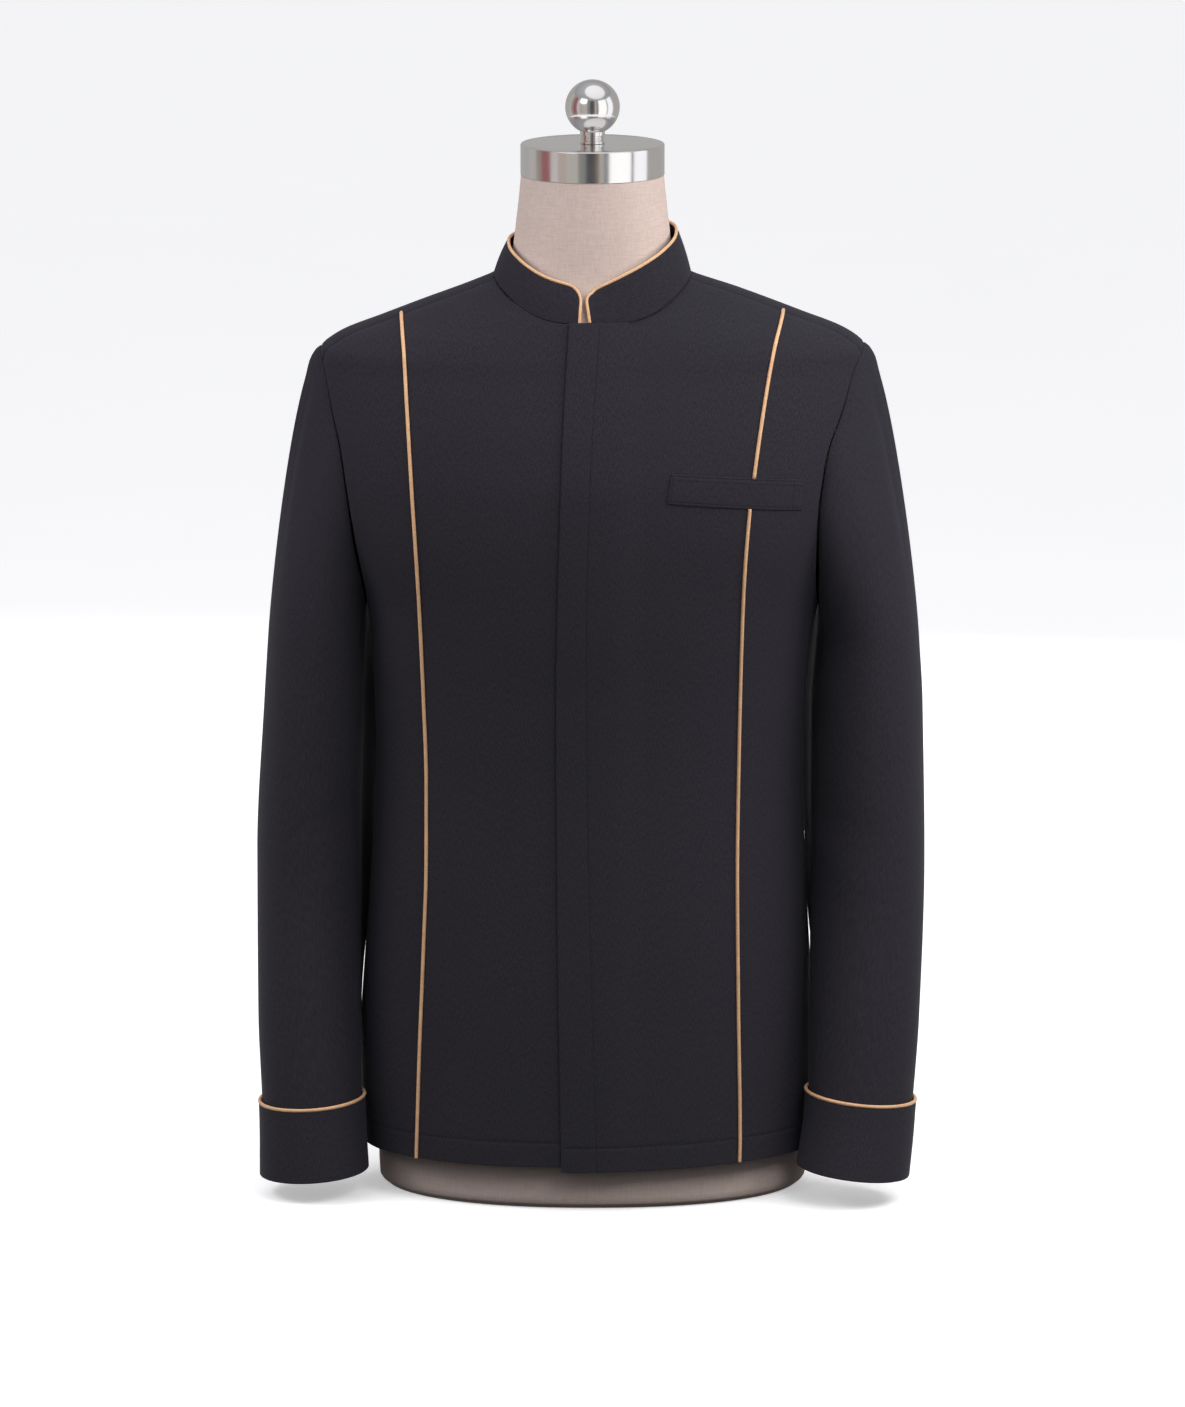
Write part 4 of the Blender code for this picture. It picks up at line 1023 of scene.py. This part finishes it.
def build_collar():
    """The stand collar, with both front corners rounded, and the piping round its edge."""
    length = 2 * math.pi * COLLAR_MEAN_RADIUS
    end = np.arange(0, 13, 0.5) * MM
    middle = np.linspace(14 * MM, length - 14 * MM, COLLAR_COLUMNS)
    share = np.sort(np.concatenate([end, length - end, middle])) / length
    base, top = (line(first + share * (last - 360 - first))
                 for line, (first, last) in ((neckline, COLLAR_END_TURNS["base"]),
                                             (collar_top, COLLAR_END_TURNS["top"])))
    rise = top - base
    into_corner = np.clip(COLLAR_CORNER - from_ends(top, 0), 0, COLLAR_CORNER)
    cut = COLLAR_CORNER - np.sqrt(COLLAR_CORNER**2 - into_corner**2)
    kept = 1 - cut / np.linalg.norm(rise, axis=1)
    rows = (spaced(COLLAR_HEIGHT, COLLAR_STEP) / COLLAR_HEIGHT)[:, None, None]
    face = unit(np.cross(rise, np.gradient(base + rise * rows, axis=1)))
    outer = base + rise * rows * kept[:, None] + COLLAR_BOW * np.sin(math.pi * rows) * face
    cloth("collar", outer, face)
    path, path_face = (np.concatenate([grid[:, 0], grid[-1, 1:-1], grid[::-1, -1]])
                       for grid in (outer - WALL / 2 * face, face))
    share = even(COLLAR_PIPING_STEPS)
    path, path_face = resample(path, share), resample(path, share, path_face)
    outwards = unit(np.cross(np.gradient(path, axis=0), path_face))
    path = path + outwards * (COLLAR_PIPING_RADIUS - COLLAR_PIPING_SINK)
    piping("piping_collar", path, COLLAR_PIPING_RADIUS)


def welt_point(across, up):
    """A point of the welt's outline: across from its inner end, up from its lower edge."""
    x_in, z_in, x_out, z_out = (low + (high - low) * up
                                for low, high in zip(WELT["lower"], WELT["upper"]))
    return x_in + (x_out - x_in) * across, z_in + (z_out - z_in) * across


def build_welt():
    """The chest pocket's welt, laid on the left front and stitched down at its edges."""
    across, up = (spaced(size, WELT_STEP, (WELT_STITCH, size - WELT_STITCH)) / size
                  for size in (WELT_LENGTH, WELT_HEIGHT))
    x, z = welt_point(across[None], up[:, None])
    grid = np.stack([x, surface_y(z, x), z], -1)
    normal = body_normal(grid)
    dip = np.maximum(*(groove(from_ends(grid, axis) - WELT_STITCH) for axis in (0, 1)))
    cloth("chest_welt", grid + (WELT_THICKNESS + WELT_LIFT) * normal, normal, WELT_THICKNESS,
          dip=dip, radius=WELT_EDGE_RADIUS)


def build_front_piping(princess, side):
    """Piping along a princess seam, broken where the pocket's welt crosses it."""
    path = princess + body_normal(princess) * (PIPING_RADIUS - PIPING_SINK)
    path[0, 2] = HEM_HEIGHT + SEAM_GAP
    if side == "right":
        piping("piping_front_right", mirrored(path, side))
        return
    height = path[:, 2]
    below, above = (welt_point(WELT_CROSSING, up)[1] for up in (0, 1))
    stretches = {"lower": (height[0], below), "upper": (above, height[-1])}
    for name, (first, last) in stretches.items():
        between = (height > first + WELT_CLEARANCE) & (height < last - WELT_CLEARANCE)
        start, end = ([[np.interp(z, height, part) for part in path.T]] for z in (first, last))
        piping(f"piping_front_left_{name}", np.concatenate([start, path[between], end]))


def stitches(name, paths):
    """Short sunk threads along paths of points and normals, joined in one mesh."""
    end, size, drop = np.array(THREAD_SHAPE).T[..., None]
    threads = []
    for line, normal in paths:
        count = int(lengths(line, 0)[-1] / STITCH_PITCH)
        where = (np.arange(count) + 0.5) / count
        up = unit(resample(line, where, normal))
        ahead = unit(resample(line, where + 1e-3) - resample(line, where - 1e-3))
        centre = (resample(line, where)[:, None] + ahead[:, None] * end * STITCH_LENGTH
                  + up[:, None] * (THREAD_LIFT - drop * THREAD_RADIUS))
        across = unit(np.cross(ahead, up))
        threads.append(rings(centre, size[:, 0] * THREAD_RADIUS, across[:, None], up[:, None], 6))
    points = np.concatenate(threads)
    index, faces = grid_faces(*points.shape[1:3], True)
    shift = points[0, ..., 0].size * np.arange(len(points))[:, None, None]
    faces = ((faces + shift).reshape(-1, 4).tolist()
             + (index[[0, -1], :-1] + shift).reshape(-1, 6).tolist())
    add_piece(name, points, faces, "suit_cloth.thread")


def stitch_path(node, axis, place, facing=None):
    """A row (axis 0) or column (axis 1) of a piece's outer surface, with normals out of it."""
    line, near = (OUTER[node].take(place + step, axis) for step in (0, 1))
    normal = unit(np.cross(np.gradient(line, axis=0), near - line))
    normal = normal * np.sign((normal * line * (1, 1, 0)).sum())
    if facing is not None:
        normal = np.broadcast_to(facing, line.shape)
    return line[3:-3], normal[3:-3]


def find_place(grid, axis, place):
    """Index of the row (axis 0) or column (axis 1) at a distance into a grid."""
    along = lengths(grid, axis).take(grid.shape[1 - axis] // 2, 1 - axis)
    return int(np.argmin(np.abs(along - place)))


def build_stitches():
    stitches("stitches_fly", [stitch_path("front_left_centre", 1, FLY_COLUMN[0])])
    row = int(np.argmin(np.abs(OUTER["back"][:, 40, 2] - HEM_HEIGHT - HEM_STITCH)))
    panels = [node for node in CUTS if node.startswith("front")] + ["back"]
    stitches("stitches_hem", [stitch_path(node, 0, row) for node in panels])
    stitches("stitches_welt", [
        stitch_path("chest_welt", axis, find_place(OUTER["chest_welt"], axis, place), WELT_FACING)
        for axis, size in ((0, WELT_HEIGHT), (1, WELT_LENGTH))
        for place in (WELT_STITCH, size - WELT_STITCH)])


def build_form():
    """The dress form's linen-covered torso, in level rings from its base to its neck."""
    low, high = FORM.rows[[0, -1], 0]
    levels = np.concatenate([low + np.array(FORM_FOOT_ROWS) * MM,
                             np.linspace(low + 5 * MM, high, FORM_ROWS)])[:, None]
    sine = np.sin(around(FORM_STEPS))
    cosine = np.cos(around(FORM_STEPS))
    power = FORM.at("power", levels)
    depth = np.where(sine < 0, FORM.at("front", levels), FORM.at("back", levels))
    x = FORM.at("half_width", levels) * np.sign(cosine) * np.abs(cosine)**(2 / power)
    y = depth * np.sign(sine) * np.abs(sine)**(2 / power)
    grid = np.stack(np.broadcast_arrays(x, y, levels), -1)
    index, faces = grid_faces(*grid.shape[:2], True)
    flat = np.stack([lengths(grid, 1), lengths(grid, 0)], -1)
    add_piece("form_torso_linen", grid, faces.tolist() + index[[0, -1], :-1].tolist(),
              "form_linen", "form_torso", flat, sharp=50)


def turned(node, profile, steps):
    """A turned chrome piece from its profile, given as radius and height from the top down."""
    radius, height = np.array(profile).T[..., None]
    x = radius * np.cos(around(steps))
    y = radius * np.sin(around(steps))
    grid = np.stack(np.broadcast_arrays(x, y, height), -1)
    faces = grid_faces(len(profile), steps, True)[1]
    add_piece(f"{node}_chrome", grid, faces.tolist(), "chrome", node, sharp=35)


def build_neck_fittings():
    bottom, top = CAP_HEIGHTS
    edge = [(CAP_RADIUS - CAP_ROUNDING * (1 - math.sin(a)), top - CAP_ROUNDING * (1 - math.cos(a)))
            for a in np.linspace(0, math.pi / 2, 6)]
    foot = [(CAP_RADIUS, bottom + CAP_FOOT), (CAP_RADIUS - CAP_FOOT, bottom), (0, bottom)]
    turned("form_neck_cap", [(0, top), (CAP_INNER_RING, top)] + edge + foot, CAP_STEPS)
    start = math.asin(STEM_RADIUS / BALL_RADIUS)
    ball = [(BALL_RADIUS * math.sin(a), BALL_CENTRE + BALL_RADIUS * math.cos(a))
            for a in np.linspace(0, math.pi - start, BALL_ROWS)]
    foot = top + SEAM_GAP
    stem = [(STEM_RADIUS - depth * MM, foot + height * MM) for depth, height in STEM_GROOVE]
    turned("form_finial", ball + stem + [(0, foot)], BALL_STEPS)


# Materials

def new_material(name):
    material = bpy.data.materials.new(name)
    material.use_nodes = True
    tree = material.node_tree
    shader = next(node for node in tree.nodes if node.type == "BSDF_PRINCIPLED")
    return material, tree, shader


def put(tree, node, inputs):
    """Links or sets a node's inputs."""
    for name, value in inputs.items():
        if isinstance(value, bpy.types.NodeSocket):
            tree.links.new(value, node.inputs[name])
        else:
            node.inputs[name].default_value = value


def add_node(tree, kind, inputs=None, **settings):
    node = tree.nodes.new(kind)
    for name, value in settings.items():
        setattr(node, name, value)
    put(tree, node, inputs or {})
    return node


def noise(tree, scale, detail, turn=None):
    """Noise stretched by a scale for each metre, in space or turned within the flat cloth."""
    if turn is None:
        place = add_node(tree, "ShaderNodeTexCoord").outputs["Object"]
    else:
        place = add_node(tree, "ShaderNodeUVMap", uv_map="cloth").outputs["UV"]
    mapping = add_node(tree, "ShaderNodeMapping", {
        "Vector": place, "Rotation": (0, 0, math.radians(turn or 0)), "Scale": scale})
    return add_node(tree, "ShaderNodeTexNoise", {
        "Vector": mapping.outputs["Vector"], "Scale": 1, "Detail": detail}).outputs["Fac"]


def ramp(tree, value, stops):
    node = add_node(tree, "ShaderNodeValToRGB", {"Fac": value})
    while len(node.color_ramp.elements) < len(stops):
        node.color_ramp.elements.new(0.5)
    for element, (place, colour) in zip(node.color_ramp.elements, stops):
        element.position = place
        element.color = (*colour, 1)
    return node.outputs["Color"]


def mix(tree, factor, first, second, blend="MIX"):
    """Mixes two colours, by the numbers of the mix node's colour sockets."""
    return add_node(tree, "ShaderNodeMix", {0: factor, 6: first, 7: second}, data_type="RGBA",
                    blend_type=blend).outputs[2]


def bump(tree, shader, height, distance, strength):
    node = add_node(tree, "ShaderNodeBump", {"Height": height, "Strength": strength,
                                             "Distance": distance})
    put(tree, shader, {"Normal": node.outputs["Normal"]})


def woven(name, threads, spread, colours, cover, tint, relief, values):
    """Cloth whose threads, as one or two noises, give its tone and relief.

    A broad cover shades it softly."""
    material, tree, shader = new_material(name)
    tone, *others = (noise(tree, *thread) for thread in threads)
    for other in others:
        added = add_node(tree, "ShaderNodeMath", {0: tone, 1: other}, operation="ADD")
        tone = add_node(tree, "ShaderNodeMath", {0: added.outputs[0], 1: 0.5},
                        operation="MULTIPLY").outputs[0]
    colour = ramp(tree, tone, tuple(zip(spread, colours)))
    shade = ramp(tree, noise(tree, *cover), ((0.3, tint), (0.7, (1, 1, 1))))
    put(tree, shader, {"Base Color": mix(tree, 1, colour, shade, "MULTIPLY"), **values})
    bump(tree, shader, tone, *relief)
    return material


def polished(name):
    """Polished chrome with faint turning marks and a little handling haze."""
    material, tree, shader = new_material(name)
    haze = noise(tree, (30, 30, 30), 4)
    roughness = ramp(tree, haze, ((0.35, (0.11, 0.11, 0.11)), (0.75, (0.2, 0.2, 0.2))))
    put(tree, shader, {"Roughness": roughness, "Base Color": (0.78, 0.765, 0.755, 1),
                       "Metallic": 1})
    bump(tree, shader, noise(tree, (20, 20, 2600), 1), 0.01 * MM, 0.3)
    return material


# Studio

def build_camera():
    data = bpy.data.cameras.new("camera")
    data.lens = CAMERA_LENS
    data.sensor_width = 36
    data.clip_end = 200
    camera = add_object("camera", data)
    pitch = math.radians(CAMERA_PITCH)
    back = Vector((0, -math.cos(pitch), math.sin(pitch)))
    camera.location = Vector((0, 0, CAMERA_TARGET_HEIGHT)) + CAMERA_DISTANCE * back
    camera.rotation_euler = (-back).to_track_quat("-Z", "Y").to_euler()
    bpy.context.scene.camera = camera


def add_light(name, kind, place, size, power, colour, aim):
    data = bpy.data.lights.new(name, kind)
    if kind == "SUN":
        data.angle = math.radians(size)
    else:
        data.size = size
    data.energy = power
    data.color = colour
    light = add_object(name, data)
    light.location = place
    light.rotation_euler = (Vector(aim) - Vector(place)).to_track_quat("-Z", "Y").to_euler()
    light.visible_glossy = name in SHINING


def build_cards():
    """A ring of plain cards, of soft-edged tones, that only glossy surfaces see."""
    bpy.ops.mesh.primitive_cylinder_add(vertices=96, radius=CARD_RADIUS, depth=CARD_HEIGHT,
                                        end_fill_type="NOTHING", location=(0, 0, CARD_HEIGHT / 2),
                                        rotation=(0, 0, -math.pi / 2))
    cards = bpy.context.object
    cards.name = "reflection_cards"
    material, tree, shader = new_material("reflection_cards")
    place = add_node(tree, "ShaderNodeTexCoord").outputs["Object"]
    turn = add_node(tree, "ShaderNodeTexGradient", {"Vector": place}, gradient_type="RADIAL")
    stops = []
    first = 0
    for last, colour, strength in CARD_BANDS:
        tone = tuple(CARD_GAIN * strength * part for part in colour)
        stops += [((first + CARD_BLEND / 2) / 360, tone), ((last - CARD_BLEND / 2) / 360, tone)]
        first = last
    put(tree, shader, {"Emission Color": ramp(tree, turn.outputs["Fac"], stops),
                       "Emission Strength": 1, "Base Color": (0, 0, 0, 1), "Roughness": 1})
    cards.data.materials.append(material)
    for kind in ("camera", "diffuse", "transmission", "volume_scatter", "shadow"):
        setattr(cards, f"visible_{kind}", False)


def build_floor():
    half = FLOOR_SIZE / 2
    mesh = bpy.data.meshes.new("floor")
    mesh.from_pydata([(-half, -half, 0), (half, -half, 0), (half, half, 0), (-half, half, 0)], [],
                     [(0, 1, 2, 3)])
    material, tree, shader = new_material("studio_floor")
    low, high = (tuple(share * part for part in FLOOR_COLOUR) for share in (0.985, 1))
    grain = ramp(tree, noise(tree, (3, 3, 3), 2), ((0.3, low), (0.7, high)))
    put(tree, shader, {"Base Color": grain, "Roughness": 0.9, "Emission Color": (1, 1, 1, 1),
                       "Emission Strength": FLOOR_GLOW})
    mesh.materials.append(material)
    floor = add_object("floor", mesh)
    floor.location.z = -0.2 * MM
    floor.visible_diffuse = False


def build_studio():
    world = bpy.data.worlds.new("studio")
    world.use_nodes = True
    tree = world.node_tree
    place = add_node(tree, "ShaderNodeTexCoord").outputs["Generated"]
    parts = add_node(tree, "ShaderNodeSeparateXYZ", {0: place})
    low, level, high = (tuple(strength * part for part in WORLD_COLOUR)
                        for strength in WORLD_STRENGTHS)
    shade = ramp(tree, parts.outputs["Z"], ((0, low), (0.08, level), (1, high)))
    seen = add_node(tree, "ShaderNodeLightPath").outputs["Is Camera Ray"]
    put(tree, tree.nodes["Background"], {"Color": mix(tree, seen, shade, (0.95, 0.95, 0.96, 1))})
    bpy.context.scene.world = world
    for row in LIGHTS:
        add_light(*row)
    build_floor()
    build_cards()
    bpy.context.scene.view_settings.view_transform = "Standard"


# Black fine twill: fibres of two shades, steep ribs and a slight wear of tone
SUITING = {
    "threads": (((1500, 260, 1), 1, 63), ((900, 900, 1), 2, 0)),
    "spread": (0.36, 0.64),
    "cover": ((9, 9, 9), 3),
    "tint": (0.93, 0.93, 0.94),
    "relief": (0.12 * MM, 0.7),
    "values": {"Roughness": 0.8, "Specular IOR Level": 0.16, "Sheen Weight": 0.03,
               "Sheen Roughness": 0.45, "Sheen Tint": (0.62, 0.62, 0.72, 1)},
}
# Light brown satin of slanting threads with a soft gloss, and plain linen with slubs both ways
MATERIALS = {
    "suit_cloth": woven("suit_cloth", colours=((0.0146, 0.0133, 0.0182), (0.0325, 0.03, 0.038)),
                        **SUITING),
    "suit_cloth.thread": woven("suit_thread", colours=((0.012, 0.011, 0.0155),
                                                       (0.024, 0.022, 0.029)), **SUITING),
    "piping_satin": woven(
        "piping_satin", threads=(((2600, 300, 1), 1, 50),), spread=(0.3, 0.7),
        colours=((0.66, 0.36, 0.18), (0.92, 0.58, 0.33)), cover=((70, 70, 1), 2, 0),
        tint=(0.88, 0.86, 0.84), relief=(0.1 * MM, 0.6),
        values={"Roughness": 0.42, "Specular IOR Level": 0.5, "Sheen Weight": 0.15,
                "Sheen Roughness": 0.3}),
    "form_linen": woven(
        "form_linen", threads=(((1300, 1300, 90), 2), ((90, 90, 1300), 2)), spread=(0.3, 0.7),
        colours=((0.575, 0.46, 0.41), (0.73, 0.60, 0.545)), cover=((14, 14, 14), 3),
        tint=(0.95, 0.94, 0.93), relief=(0.18 * MM, 0.6),
        values={"Roughness": 0.92, "Specular IOR Level": 0.2}),
    "chrome": polished("chrome"),
}
OUTER = {}
FLY_COLUMN = []

for wearer_side in ("left", "right"):
    build_front(wearer_side)
    build_sleeve(wearer_side)
    build_cuff(wearer_side)
build_back()
build_collar()
build_welt()
build_stitches()
build_form()
build_neck_fittings()
build_camera()
build_studio()
